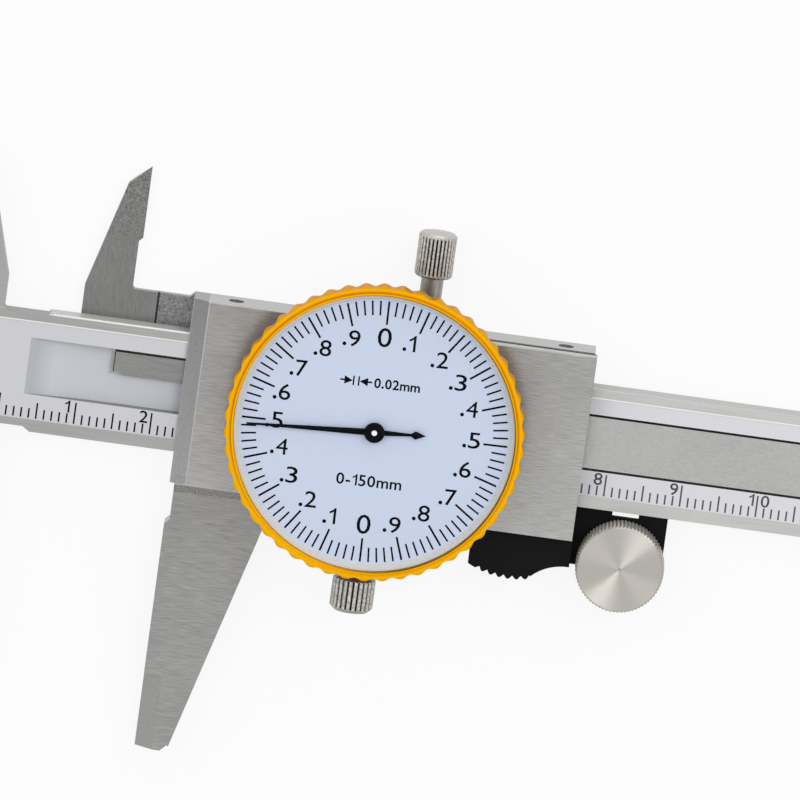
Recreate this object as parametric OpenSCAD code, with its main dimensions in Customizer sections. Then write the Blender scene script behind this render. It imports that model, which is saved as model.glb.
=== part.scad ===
// Dial caliper, 150 mm, one pointer turn for 2 mm of travel, lying on its back with the dial up.
// Drawn with X along the beam from the fixed jaw's face, Y up from the beam's lower edge and
// Z up from the beam's front; the finished pieces are moved so that the centre of the fixed
// jaw's measuring face is the origin.

/* [Travel] */
// Jaw opening at which the caliper is drawn
opening = 23.48; // [0:0.02:150]
// Largest opening that can be measured
capacity = 150; // [100:10:200]

/* [Beam] */
// Height of the beam
beam_h = 16; // [15:0.1:18]
// Thickness of the beam and of the outside jaws
beam_t = 3.2; // [3:0.1:4]
// Length of the beam's head, left of the fixed jaw's face
head_l = 16; // [15.5:0.1:19]
// Beam left over beyond the slider at the largest opening
tail_l = 12.1; // [11:0.1:20]
// Width of the bare rail along the lower edge
low_rail = 1.6; // [1:0.1:2]
// Width of the scale band under the groove
low_band = 3.35; // [3:0.05:3.6]
// Width of the band above the groove
top_band = 2.1; // [1.5:0.1:2.3]
// Width of the bare rail along the top edge
top_rail = 1.4; // [1:0.1:2]
// Depth of the pale recess between the rails
band_d = 0.12; // [0.05:0.01:0.18]
// Place where the recess begins, left of the scale's zero
band_start = 2.5; // [1:0.1:5]
// Depth of the groove for the rack and the depth rod
groove_d = 1.8; // [1.6:0.05:2]
// Place where the groove begins
groove_start = 2.7; // [2.5:0.1:4]
// Length over which the groove runs out to the surface
runout_l = 11; // [8:0.5:11.2]
// Depth of the ground relief on the top edge beside the inside jaw
top_relief_d = 0.33; // [0.2:0.01:0.5]
// Length of that relief from the fixed jaw's face
top_relief_l = 4.85; // [4:0.05:6]
// Depth of the relief in the lower edge beside the outside jaw
low_relief_d = 0.62; // [0.3:0.01:0.9]
// Length of that relief from the fixed jaw's face
low_relief_l = 3.4; // [3:0.1:5]

/* [Outside jaws] */
// Reach of the outside jaws below the beam
jaw_l = 40; // [36:0.5:44]
// Width of an outside jaw at its tip
jaw_tip_w = 4.2; // [3.5:0.1:5]
// Slope of an outside jaw's back edge, in degrees
jaw_taper = 15.5; // [13:0.5:16]
// Start of the measuring face, below the beam
face_top = 9.7; // [8:0.1:12]
// Step from the measuring face back to the relief above it
jaw_relief = 0.65; // [0.4:0.05:0.9]
// Length of the thinned tip
thin_l = 10; // [6:0.5:14]
// Thickness of the measuring edge at the thinned tip
thin_t = 1.4; // [1:0.1:2]
// Width of the bevel that thins the tip
thin_w = 2.4; // [1.5:0.1:3]

/* [Inside jaws] */
// Distance of the inside measuring edges from the outside faces
inside_x = 7.69; // [7.2:0.05:8]
// Height of the inside jaws above the beam
inside_h = 20.6; // [18:0.1:23]
// Width of an inside jaw at its foot
inside_w = 6.75; // [6:0.05:6.9]
// Length of an inside measuring edge
inside_edge_l = 9.55; // [7:0.05:11]
// Step from the inside measuring edge back to its relief
inside_step = 0.5; // [0.3:0.05:0.8]
// Width of the slanted end at the tip
inside_tip_w = 2.8; // [2:0.1:3.5]
// Height of the slanted end at the tip
inside_tip_h = 2.6; // [2:0.1:4]
// Height of the upright foot of the back edge
inside_foot_h = 3.9; // [2:0.1:6]
// Top of the neck that carries the moving inside jaw, above the beam
neck_h = 4.1; // [3.5:0.1:4.5]
// Reach of the moving inside jaw down behind the beam
blade_tail = 3; // [2:0.1:5]
// Thickness of an inside measuring edge
knife_t = 0.4; // [0.2:0.05:0.6]
// Width of the bevel behind an inside measuring edge
knife_w = 2; // [1.5:0.1:2.5]

/* [Slider] */
// Length of the slider
slider_l = 52.9; // [52:0.1:58]
// Height of the slider above the beam
slider_top = 4.7; // [4.5:0.1:6]
// Depth of the slider below the beam
slider_low = 4.06; // [3.8:0.02:5]
// Thickness of the slider's front wall
front_wall = 1.1; // [1:0.05:1.5]
// Thickness of the slider's back and of the moving inside jaw
back_wall = 1.2; // [1:0.05:1.6]
// Width of the reading bevel on the slider's left edge
bevel_w = 2.15; // [1.5:0.05:3]
// Thickness left at the reading edge
bevel_lip = 0.35; // [0.1:0.05:0.6]
// Length of the slider that keeps its solid back, at the left
solid_back_l = 6.5; // [5:0.5:8]
// Width of the ledge that the back plate rests on, above and below the beam
ledge_w = 2.7; // [2.5:0.1:2.9]
// Thickness of the gib strip on the beam's top edge
gib_t = 0.8; // [0.6:0.05:0.9]
// Room for the gib strip
gib_room = 1; // [0.95:0.05:1.2]
// Height of the slope between the slider and its outside jaw
slope_h = 1.2; // [0.8:0.1:2]
// Set-in of the gib strip from the slider's ends
gib_inset = 1; // [0.5:0.1:2]
// Place of the left gib screw from the slider's left edge
gib_screw_left = 5.5; // [4:0.1:8]
// Place of the right gib screw from the slider's right edge
gib_screw_right = 3.9; // [3:0.1:4.5]
// Chamfer along the top front edges of the beam and the slider
edge_chamfer = 0.2; // [0.1:0.05:0.3]

/* [Front cover] */
// Thickness of the front cover on the slider's right half
cover_t = 1.15; // [1:0.05:2]
// Thickness of the black gasket under the cover
gasket_t = 0.75; // [0.4:0.05:0.9]
// Gap between the cover and the dial case
cover_case_gap = 0.3; // [0.2:0.05:0.6]
// Overhang of the cover past the slider's right end
cover_over = 0.3; // [0:0.05:0.5]
// Set-in of the gasket from the cover's edges
gasket_in = 0.05; // [0.02:0.01:0.2]

/* [Depth rod] */
// Thickness of the depth rod
rod_t = 0.6; // [0.5:0.05:0.7]
// Depth of the rod's face below the beam's front
rod_drop = 0.2; // [0.15:0.01:0.3]
// Gap beside the rod in the groove
rod_side_gap = 0.25; // [0.15:0.05:0.5]
// Gap between the rod and the rack below it
rod_rack_gap = 0.12; // [0.1:0.01:0.2]
// Length of the rod that lies under the slider
rod_hold_l = 12.3; // [11.5:0.1:13]
// Length of the stepped end of the rod
rod_step_l = 5; // [3:0.5:8]

/* [Rack and gears] */
// Pitch of the rack's teeth
rack_pitch = 0.625; // [0.6:0.005:0.64]
// Height of the rack with its teeth
rack_h = 3.2; // [3:0.05:3.4]
// Gap between the rack and the groove's top wall
rack_gap = 0.4; // [0.3:0.05:0.6]
// Left end of the rack, from the fixed jaw's face
rack_start = 14.2; // [14:0.1:15.5]
// Rack left over beyond the pinion at the largest opening
rack_over = 4; // [3:0.5:8]
// Place of the outer rack screws from the rack's ends
rack_screw_in = 4; // [3:0.5:8]
// Teeth of the pinion that rolls on the rack
pinion_teeth = 16; // [16:1:17]
// Teeth of the drive gear and of its backlash gear
gear_teeth = 100; // [90:5:100]
// Teeth of the pinion on the pointer's arbor
centre_teeth = 20; // [18:1:20]
// Module of the drive gear
gear_module = 0.12; // [0.11:0.005:0.125]
// Thickness of each gear
gear_t = 0.6; // [0.5:0.05:0.65]
// Play between teeth at the pitch line
tooth_play = 0.05; // [0.03:0.01:0.08]
// Radius of the arbors in their bushes
arbor_r = 0.6; // [0.5:0.05:0.65]
// Radius of the arbors between their bushes
arbor_body_r = 0.9; // [0.8:0.05:0.95]
// Outer radius of the bushes
bush_r = 1.3; // [1.1:0.05:1.5]

/* [Dial] */
// Place of the dial's centre from the slider's left edge
dial_x = 25.7; // [25:0.1:27]
// Drop of the dial's centre below the beam's middle
dial_down = 0.1; // [0:0.05:0.3]
// Outer radius of the dial case
case_r = 16.7; // [15.5:0.1:17.5]
// Thickness of the dial case's wall
case_wall = 1.9; // [1.7:0.05:2]
// Thickness of the dial case's floor
case_floor = 1; // [0.8:0.05:1.3]
// Height of the movement between the floor and the bridge
movement_h = 3.1; // [2.6:0.05:3.3]
// Thickness of the movement's bridge
bridge_t = 0.8; // [0.7:0.05:1]
// Room above the bridge for its screws
bridge_room = 1; // [0.7:0.05:1.2]
// Reach of the rim that the bezel turns on, beyond the case
rim_over = 0.85; // [0.7:0.05:1]
// Thickness of the bezel's skirt round the rim
skirt_wall = 0.9; // [0.7:0.05:1.1]
// Height of the rim
rim_h = 1.45; // [1.4:0.05:1.6]
// Thickness of the bezel's scalloped wall
bezel_wall = 1.08; // [0.95:0.01:1.2]
// Height of the scallops from valley to crest
scallop_h = 0.38; // [0.2:0.02:0.5]
// Number of scallops
scallops = 50; // [40:1:60]
// Reach of the bezel's bore beyond the rim
bore_over = 0.82; // [0.75:0.01:1]
// Drop of the scalloped edge below the dial plate
edge_drop = 0.25; // [0.15:0.05:1]
// Height of the bezel's lip above the crystal
lip_h = 0.2; // [0.1:0.05:0.5]
// Width of the bezel's lip
lip_w = 0.38; // [0.2:0.02:0.4]
// Thickness of the bezel's inner flange
flange_t = 0.45; // [0.4:0.05:0.7]
// Thickness of the dial plate
dial_t = 0.4; // [0.3:0.05:0.6]
// Height of the pale ring between dial and crystal
ring_h = 1.15; // [1.1:0.05:1.6]
// Width of the pale ring at the dial
ring_w = 0.75; // [0.5:0.05:1]
// Thickness of the crystal
crystal_t = 0.6; // [0.5:0.05:1]

/* [Pointer] */
// Gap between the pointer's tip and the pale ring
pointer_gap = 0.9; // [0.4:0.05:1.5]
// Reach of the pointer's tail
tail_reach = 6.7; // [5:0.1:8]
// Width of the pointer at its hub
pointer_w = 0.9; // [0.6:0.02:1]
// Width of the pointer at its tip
pointer_tip_w = 0.2; // [0.1:0.02:0.3]
// Width of the tail where it meets the spearhead
tail_neck_w = 0.32; // [0.2:0.02:0.5]
// Width of the spearhead on the tail
spear_w = 1.1; // [0.6:0.05:1.3]
// Length of the spearhead on the tail
spear_l = 1.9; // [1:0.05:2.5]
// Thickness of the pointer
pointer_t = 0.2; // [0.15:0.01:0.24]
// Height of the pointer above the dial plate
pointer_up = 0.45; // [0.4:0.05:0.5]
// Radius of the pointer's hub
hub_r = 1.34; // [1.1:0.02:1.5]
// Height of the pointer's hub
hub_h = 0.35; // [0.3:0.01:0.4]
// Radius of the arbor's end that shows in the hub
hub_pin_r = 0.36; // [0.3:0.02:0.5]

/* [Knobs] */
// Place of the lock screw from the slider's left edge
lock_x = 30.5; // [28:0.1:33]
// Radius of the lock screw's head
lock_head_r = 2.5; // [2.2:0.05:2.7]
// Length of the lock screw's head
lock_head_l = 6; // [5:0.1:6.5]
// Length of the lock screw's bare stem above the slider
lock_stem_l = 6.8; // [6:0.1:8]
// Radius of the lock screw's stem
lock_stem_r = 1.47; // [1.35:0.01:1.6]
// Radius of the lock screw's threaded end
lock_thread_r = 1.25; // [1:0.05:1.3]
// Ridges on the lock screw's head
lock_ridges = 28; // [18:1:32]
// Radius of the bezel clamp screw's head
clamp_head_r = 2.85; // [2.4:0.05:3]
// Length of the bezel clamp screw's head
clamp_head_l = 5; // [4.5:0.1:6]
// Gap between the clamp screw's head and its boss
clamp_head_gap = 0.3; // [0.2:0.05:1]
// Radius of the clamp screw's shank
clamp_shank_r = 0.9; // [0.8:0.05:1]
// Radius of the boss that carries the clamp screw
clamp_boss_r = 1.35; // [1.2:0.05:1.4]
// Ridges on the clamp screw's head
clamp_ridges = 24; // [16:1:28]
// Height of the ridges on both heads
ridge_h = 0.26; // [0.2:0.02:0.34]
// Height of the plain rims at the ends of both heads
head_rim_h = 0.5; // [0.3:0.05:0.8]
// Radius of the brass plug that the clamp screw lifts against the bezel
plug_r = 0.65; // [0.55:0.05:0.7]

/* [Thumb rest and roller] */
// Length of the thumb rest along the slider
rest_l = 13.2; // [12:0.1:14]
// Overhang of the thumb rest past the slider's right end
rest_over = 0.4; // [0.2:0.05:0.6]
// Radius of the thumb rest's convex edge
rest_arc_r = 11.24; // [10:0.1:12]
// Lowest reach of the thumb rest below the beam
rest_low = 10.6; // [10:0.1:12]
// Radius of the hollow at the thumb rest's right
hollow_r = 6.7; // [6:0.1:7.5]
// Depth of the roller arm below the beam
arm_low = 8; // [7.5:0.1:8.5]
// Number of serrations on the thumb rest
serrations = 7; // [5:1:8]
// Pitch of the serrations
serration_pitch = 1.17; // [1:0.01:1.25]
// Depth of the serrations
serration_d = 0.45; // [0.3:0.05:0.6]
// Height of the thumb rest's front above the beam's front
rest_front = 1; // [0.5:0.05:1.1]
// Set-in of the thumb rest's back from the slider's back
rest_back_in = 0.25; // [0.1:0.05:0.4]
// Reach of the roller arm past the slider's right end
arm_l = 12.4; // [11.5:0.1:13]
// Radius of the rounded corner of the arm
arm_round = 3.5; // [2:0.1:4]
// Gap between the arm and the beam
arm_gap = 0.15; // [0.1:0.01:0.3]
// Width of the window in the arm
window_w = 3.5; // [3:0.1:4]
// Depth of the window in the arm
window_d = 0.75; // [0.5:0.05:1.5]
// Place of the window from the slider's right end
window_x = 5.1; // [4.6:0.1:5.6]
// Extra depth of the window behind the arm's face
window_back = 0.7; // [0.4:0.05:1]
// Thickness of the arm's face at the window
window_lip = 0.6; // [0.4:0.05:1]
// Thickness of the arm behind the roller
arm_t = 2.75; // [2.6:0.05:2.9]
// Radius of the roller
roller_r = 5.82; // [5.4:0.02:5.9]
// Thickness of the roller
roller_t = 4.8; // [4:0.1:5.5]
// Gap between the roller and the beam
roller_gap = 1.1; // [0.8:0.05:1.4]
// Place of the roller's axis from the slider's right end
roller_x = 6.96; // [6.5:0.02:7.3]
// Ridges on the roller's rim
roller_ridges = 72; // [48:1:90]
// Height of the roller's ridges
roller_ridge_h = 0.22; // [0.1:0.02:0.3]
// Radius of the roller's shaft
shaft_r = 1.25; // [1:0.05:1.4]
// Thickness of the clip on the roller's shaft
clip_t = 0.3; // [0.2:0.05:0.4]

/* [Screws] */
// Shank radius of the small countersunk screws
small_r = 0.8; // [0.7:0.05:0.85]
// Head radius of the small countersunk screws
small_head_r = 1.35; // [1.2:0.05:1.4]
// Shank radius of the depth rod's screws
rod_screw_r = 1; // [0.8:0.05:1.1]
// Head radius of the depth rod's screws
rod_screw_head_r = 1.8; // [1.5:0.05:1.9]
// Radius of the gib screws
gib_screw_r = 1; // [0.9:0.05:1.25]
// Width of the screws' slots
slot_w = 0.4; // [0.3:0.05:0.5]
// Depth of the screws' slots
slot_d = 0.3; // [0.2:0.05:0.4]
// Length of the end stop on the beam's back
stop_l = 8; // [6:0.5:9]
// Width of the end stop
stop_w = 8; // [6:0.5:10]

/* [Clearances] */
// Sliding gap between the slider and the beam
slide_gap = 0.04; // [0.02:0.01:0.08]
// Running gap between a shaft and its bore
run_gap = 0.03; // [0.02:0.005:0.06]
// Gap around seated screws and inserts
seat_gap = 0.02; // [0.01:0.005:0.04]
// Gap left between pieces that turn or slide face to face
face_gap = 0.1; // [0.06:0.01:0.15]

/* [Hidden] */
$fn = 64;
pressure_angle = 20;
addendum = 0.9;
dedendum = 1.25;
over = 1;
beam_end = capacity + slider_l + tail_l;
groove_low = low_rail + low_band;
groove_top = beam_h - top_rail - top_band;
groove_mid = (groove_low + groove_top) / 2;
runout_r = (runout_l * runout_l + groove_d * groove_d) / (2 * groove_d);
front_z = slide_gap + front_wall;
inner_back_z = -beam_t - slide_gap;
back_z = inner_back_z - back_wall;
channel_top = beam_h + gib_room;
slider_top_y = beam_h + slider_top;
mid_z = -beam_t / 2;

// Rack, pinion and gears
rack_module = rack_pitch / PI;
rack_top = groove_top - rack_gap;
rack_pitch_y = rack_top - rack_h + addendum * rack_module;
rack_t = groove_d - rod_drop - rod_t - rod_rack_gap;
pinion_r = pinion_teeth * rack_module / 2;
centre_distance = gear_module * (gear_teeth + centre_teeth) / 2;
dial_y = beam_h / 2 - dial_down;
pinion_y = rack_pitch_y - pinion_r;
pinion_x = dial_x - sqrt(pow(centre_distance, 2) - pow(dial_y - pinion_y, 2));
rack_end = capacity + pinion_x + rack_over;
mesh_dir = atan2(dial_y - pinion_y, dial_x - pinion_x);
pinion_turn = 360 * opening / (pinion_teeth * rack_pitch);
pinion_angle = 90 + 180 / pinion_teeth + pinion_turn;
gear_angle = mesh_dir + pinion_turn;
gear_ratio = gear_teeth / centre_teeth;
centre_angle = mesh_dir + 180 - pinion_turn * gear_ratio + 180 / centre_teeth;
pointer_angle = 90 - pinion_turn * gear_ratio;

// Levels of the dial stack, from the slider's front
floor_z = front_z + case_floor;
bridge_z = floor_z + movement_h;
bridge_top = bridge_z + bridge_t;
rim_z = bridge_top + bridge_room;
rim_low = rim_z - rim_h;
flange_z = rim_z + face_gap;
plate_z = flange_z + flange_t;
dial_z = plate_z + dial_t;
crystal_z = dial_z + ring_h;
crystal_top = crystal_z + crystal_t;
bezel_top = crystal_top + lip_h;
edge_top = crystal_top;
edge_low = plate_z - edge_drop;
gear_z = floor_z + (movement_h - 2 * gear_t - face_gap / 2) / 2;
backlash_z = gear_z + gear_t + face_gap / 2;
gear_bore_r = arbor_body_r + seat_gap;
pointer_z = dial_z + pointer_up;
hub_z = pointer_z + pointer_t;
case_in_r = case_r - case_wall;
rim_r = case_r + rim_over;
bezel_bore_r = rim_r + bore_over;
bezel_r = bezel_bore_r + bezel_wall;
ring_r = bezel_bore_r - ring_w;
pointer_l = ring_r - pointer_gap;
skirt_r = rim_r + skirt_wall;
skirt_low = rim_low + face_gap;
snap_z = rim_low + rim_h * 0.55;
snap_t = 0.3;
snap_in = 0.28;
snap_out = 0.3;

// Places of screws and pillars
rod_start = slider_l - rod_hold_l;
rod_screw_x = [rod_start + rod_hold_l * 0.33, rod_start + rod_hold_l * 0.77];
cover_screw_x = (dial_x + case_r + cover_case_gap + slider_l) / 2;
cover_screw_y = [low_rail + 1.1, beam_h - top_rail - 0.6];
rest_left = slider_l + rest_over - rest_l;
rest_right = slider_l + rest_over;
rest_screw_x = [rest_left + rest_l * 0.2, rest_left + rest_l * 0.76];
back_plate_l = slider_l - solid_back_l;
back_screw_x = [solid_back_l + back_plate_l * 0.15, slider_l - back_plate_l * 0.16];
back_screw_y = [-slide_gap - ledge_w / 2, channel_top + ledge_w / 2];
rack_screw_x = [rack_start + rack_screw_in, (rack_start + rack_end) / 2, rack_end - rack_screw_in];
rack_screw_y = rack_pitch_y + (rack_top - rack_pitch_y) * 0.55;
stop_x = capacity + slider_l + 0.4;
stop_screw_x = [stop_x + stop_l * 0.25, stop_x + stop_l * 0.75];
case_screw_at = case_in_r * [[-0.68, 0.55], [-0.68, -0.55], [0.51, 0.54], [0.51, -0.54]];
pillar_at = case_in_r * [[-0.14, 0.75], [-0.14, -0.75], [0.75, 0]];
pillar_r = 1.4;
bridge_pad_r = 1.9;
bridge_screw_r = 0.6;
pan_r = 1.2;
pan_h = 0.55;

// Thumb rest and roller
rest_back_z = back_z + rest_back_in;
arm_front_z = rest_back_z + arm_t;
rest_arc_x = rest_left + rest_l * 0.41;
rest_step_x = rest_left + rest_l * 0.645;
roller_y = -roller_gap - roller_r;
roller_z = arm_front_z + face_gap;
shaft_end_z = rest_back_z + face_gap;
clip_r = shaft_r + 0.9;
clip_groove_r = shaft_r - 0.25;
clip_pocket_r = clip_r + 0.4;
clip_pocket_d = 0.95;
clip_z = rest_back_z + 0.45;

// Knob places
lock_tip_y = beam_h + slide_gap + gib_t + face_gap;
clamp_axis_z = skirt_low - face_gap - clamp_boss_r;
clamp_boss_end = bezel_r + scallop_h / 2;
clamp_head_start = clamp_boss_end + clamp_head_gap;
plug_at = case_in_r + case_wall / 2;
cone_l = clamp_shank_r;
clamp_tip = plug_at - 0.2;
plug_low_z = clamp_axis_z + clamp_shank_r + face_gap;

// Moves a finished piece into the part's own frame
module place() {
  translate([0, (jaw_l + face_top) / 2, -mid_z]) children();
}

// Carries what rides on the slider
module on_slider() {
  place() translate([opening, 0, 0]) children();
}

// Carries what is centred on the dial
module on_dial() {
  on_slider() translate([dial_x, dial_y, 0]) children();
}

module block(low, high) {
  translate(low) cube(high - low);
}

// Raises a flat outline between two levels
module plate(z0, z1) {
  translate([0, 0, z0]) linear_extrude(z1 - z0) children();
}

// Runs an outline drawn in Y and Z along X
module prism_x(x0, x1) {
  translate([x0, 0, 0]) rotate([90, 0, 90]) linear_extrude(x1 - x0) children();
}

// Runs an outline drawn in X and Z along Y
module prism_y(y0, y1) {
  translate([0, y1, 0]) rotate([90, 0, 0]) linear_extrude(y1 - y0) children();
}

module disc(r, z0, z1) {
  translate([0, 0, z0]) cylinder(r = r, h = z1 - z0);
}

// Fills an inner corner with a round of radius r
module corner_fill(r) {
  difference() {
    square(r);
    translate([r, r]) circle(r);
  }
}

// Wavy round outline with n crests, k points to each
function waves(n, r, h, k) = [
  for (i = [0 : n * k - 1])
    let (a = 360 * i / (n * k))
      (r + h / 2 * cos(n * a)) * [cos(a), sin(a)]
];

// Round outline with n rounded ridges of height h
function beads(n, r, h) = [
  for (i = [0 : 4 * n - 1])
    let (a = 90 * i / n)
      (r - h + h * abs(sin(45 * i))) * [cos(a), sin(a)]
];

// Countersunk screw with its head's top at the origin and its shank pointing down
module countersunk(head_r, r, l) {
  difference() {
    rotate_extrude() polygon([[0, 0], [head_r, 0], [r, r - head_r], [r, -l], [0, -l]]);
    translate([-head_r, -slot_w / 2, -slot_d]) cube([2 * head_r, slot_w, slot_d + over]);
  }
}

// Hole for a countersunk screw
module countersink(head_r, r, l) {
  rise = 0.5;
  rotate_extrude() polygon([
    [0, rise], [head_r + seat_gap + rise, rise], [head_r + seat_gap, 0],
    [r + seat_gap, r - head_r], [r + seat_gap, -l - seat_gap], [0, -l - seat_gap],
  ]);
}

// Pan-headed screw with the underside of its head at the origin and its shank pointing down
module pan_screw(r, l) {
  difference() {
    rotate_extrude() polygon([[0, pan_h], [pan_r, pan_h], [pan_r, 0], [r, 0], [r, -l], [0, -l]]);
    translate([-pan_r, -slot_w / 2, pan_h - slot_d]) cube([2 * pan_r, slot_w, slot_d + over]);
  }
}

// Angle of an involute at radius r, in degrees
function involute(r, base_r) =
  r > base_r ? sqrt(pow(r / base_r, 2) - 1) * 180 / PI - acos(base_r / r) : 0;

// Half the angle of a gear tooth at radius r, in degrees
function tooth_half(r, n, m) =
  let (pitch_r = n * m / 2, base_r = pitch_r * cos(pressure_angle))
    (PI * m / 2 - tooth_play) / pitch_r * 90 / PI + involute(pitch_r, base_r) - involute(r, base_r);

// Outline of a gear with n teeth of module m, one tooth on the X axis
function gear_outline(n, m) =
  let (pitch_r = n * m / 2, root_r = pitch_r - dedendum * m, tip_r = pitch_r + addendum * m) [
    for (i = [0 : n - 1], p = [
        [-1, root_r], [-1, pitch_r], [-1, tip_r], [1, tip_r], [1, pitch_r], [1, root_r],
      ])
      let (a = 360 * i / n + p[0] * tooth_half(p[1], n, m))
        p[1] * [cos(a), sin(a)]
  ];

// Teeth of the rack that fit between its ends
rack_first = ceil((rack_start + rack_pitch - pinion_x) / rack_pitch);
rack_last = floor((rack_end - rack_pitch - pinion_x) / rack_pitch);
rack_root_y = rack_pitch_y + dedendum * rack_module;
rack_tip_y = rack_pitch_y - addendum * rack_module;
rack_half = (rack_pitch / 2 - tooth_play) / 2;
rack_root_half = rack_half + dedendum * rack_module * tan(pressure_angle);
rack_tip_half = rack_half - addendum * rack_module * tan(pressure_angle);
rack_outline = concat(
  [[rack_end, rack_root_y], [rack_end, rack_top], [rack_start, rack_top], [rack_start, rack_root_y]],
  [
    for (k = [rack_first : rack_last], p = [
        [-rack_root_half, rack_root_y], [-rack_tip_half, rack_tip_y],
        [rack_tip_half, rack_tip_y], [rack_root_half, rack_root_y],
      ])
      [pinion_x + k * rack_pitch + p[0], p[1]]
  ]
);

// Outside jaw with its measuring face on the Y axis and its body to the right
module outside_jaw(root_y) {
  root_w = jaw_tip_w + (jaw_l + root_y) * tan(jaw_taper);
  difference() {
    plate(-beam_t, 0) difference() {
      polygon([
        [0, -jaw_l], [jaw_tip_w, -jaw_l], [root_w, root_y], [jaw_relief, root_y],
        [jaw_relief, -face_top + jaw_relief], [0, -face_top],
      ]);
      translate([jaw_tip_w, -jaw_l]) rotate(45) square(1.2, center = true);
    }
    prism_y(-jaw_l - over, thin_l - jaw_l) polygon([
      [0, thin_t - beam_t], [-over, thin_t - beam_t], [-over, over],
      [thin_w + over * thin_w / (beam_t - thin_t), over],
    ]);
  }
}

// Inside jaw outline with its measuring edge on the Y axis and its body to the left
module inside_outline(tail) {
  polygon([
    [0, inside_h], [-inside_tip_w, inside_h - inside_tip_h], [-inside_w, inside_foot_h],
    [-inside_w, -tail], [-inside_step, -tail],
    [-inside_step, inside_h - inside_edge_l - inside_step], [0, inside_h - inside_edge_l],
  ]);
}

// Bevel behind an inside measuring edge; depth is the jaw's thickness, cut from the low side
module knife_cut(z0, depth) {
  rise = depth - knife_t;
  prism_y(inside_h - inside_edge_l - inside_step, inside_h + over) polygon([
    [over, z0 - over], [over, z0 + rise + over * rise / knife_w], [0, z0 + rise],
    [-knife_w, z0], [-knife_w - over * knife_w / rise, z0 - over],
  ]);
}

module beam_body() {
  plate(-beam_t, 0) {
    difference() {
      translate([-head_l, 0]) square([head_l + beam_end, beam_h]);
      translate([-inside_x + inside_w - over, beam_h - top_relief_d])
        polygon([
          [0, 0], [top_relief_l + inside_x - inside_w + over, 0],
          [top_relief_l + inside_x - inside_w + over + top_relief_d + over, top_relief_d + over],
          [0, top_relief_d + over],
        ]);
      translate([-jaw_relief, -over]) polygon([
        [0, 0], [low_relief_l + jaw_relief, 0], [low_relief_l + jaw_relief + over, over],
        [low_relief_l + jaw_relief, over + low_relief_d], [0, over + low_relief_d],
      ]);
      translate([-head_l, beam_h]) rotate(45) square(2, center = true);
    }
  }
  mirror([1, 0, 0]) outside_jaw(2);
}

module fixed_inside_jaw() {
  translate([-inside_x, beam_h, 0]) mirror([1, 0, 0]) difference() {
    plate(-beam_t, 0) {
      inside_outline(over);
      translate([-inside_w, -top_relief_d]) mirror([1, 0]) corner_fill(top_relief_d);
    }
    mirror([0, 0, 1]) knife_cut(0, beam_t);
  }
}

module beam() {
  color("silver") difference() {
    union() {
      beam_body();
      fixed_inside_jaw();
    }
    block([-band_start, low_rail, -band_d], [beam_end + over, beam_h - top_rail, over]);
    block([groove_start + runout_l, groove_low, -groove_d], [beam_end + over, groove_top, over]);
    intersection() {
      translate([groove_start + runout_l, groove_low, runout_r - groove_d])
        rotate([-90, 0, 0]) cylinder(r = runout_r, h = groove_top - groove_low, $fn = 128);
      block([0, 0, -groove_d], [groove_start + runout_l, beam_h, over]);
    }
    prism_x(top_relief_l + 2 * top_relief_d, beam_end + over)
      translate([beam_h, 0]) rotate(45) square(edge_chamfer * sqrt(2), center = true);
    for (x = rack_screw_x)
      translate([x, rack_screw_y, -beam_t]) mirror([0, 0, 1])
        countersink(small_head_r, small_r, beam_t - groove_d + over);
    for (x = stop_screw_x)
      translate([x, beam_h / 2, -beam_t - over]) cylinder(r = small_r + seat_gap, h = over + 1.1);
  }
}

module rack() {
  color("gainsboro") difference() {
    plate(-groove_d, rack_t - groove_d) polygon(rack_outline);
    for (x = rack_screw_x)
      translate([x, rack_screw_y, -groove_d - over])
        cylinder(r = small_r + seat_gap, h = over + rack_t - 0.15);
  }
}

module rack_screws() {
  color("dimgray") for (x = rack_screw_x)
    translate([x, rack_screw_y, -beam_t]) mirror([0, 0, 1])
      countersunk(small_head_r, small_r, beam_t - groove_d + rack_t - 0.2);
}

module end_stop() {
  color("silver") difference() {
    block([stop_x, (beam_h - stop_w) / 2, back_z], [stop_x + stop_l, (beam_h + stop_w) / 2, -beam_t]);
    for (x = stop_screw_x)
      translate([x, beam_h / 2, back_z]) mirror([0, 0, 1])
        countersink(small_head_r, small_r, -beam_t - back_z + over);
  }
}

module end_stop_screws() {
  color("dimgray") for (x = stop_screw_x)
    translate([x, beam_h / 2, back_z]) mirror([0, 0, 1])
      countersunk(small_head_r, small_r, -beam_t - back_z + 1);
}

// Outline of the moving inside jaw with the neck that joins it to the slider
module moving_inside_outline() {
  neck_left = -inside_x - inside_step;
  translate([0, beam_h]) {
    translate([-inside_x, 0]) inside_outline(blade_tail);
    polygon([
      [neck_left, -blade_tail], [solid_back_l, -blade_tail], [solid_back_l, slider_top],
      [0, slider_top], [neck_h - slider_top, neck_h], [neck_left, neck_h],
    ]);
    translate([neck_left, neck_h]) corner_fill(inside_step);
  }
}

// Slider's block with the beam's channel, the back plate's recess and the reading bevel
module slider_block() {
  difference() {
    block([0, -slider_low, back_z], [slider_l, slider_top_y, front_z]);
    block([-over, -slide_gap, inner_back_z], [slider_l + over, channel_top, slide_gap]);
    block([solid_back_l, -slide_gap - ledge_w, back_z - over],
      [slider_l + over, channel_top + ledge_w, inner_back_z]);
    prism_y(-slider_low - over, slider_top_y + over) polygon([
      [0, slide_gap + bevel_lip], [bevel_w, front_z], [bevel_w, front_z + over],
      [-over, front_z + over], [-over, slide_gap + bevel_lip],
    ]);
    prism_x(-over, slider_l + over)
      translate([slider_top_y, front_z]) rotate(45) square(edge_chamfer * sqrt(2), center = true);
  }
}

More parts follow.
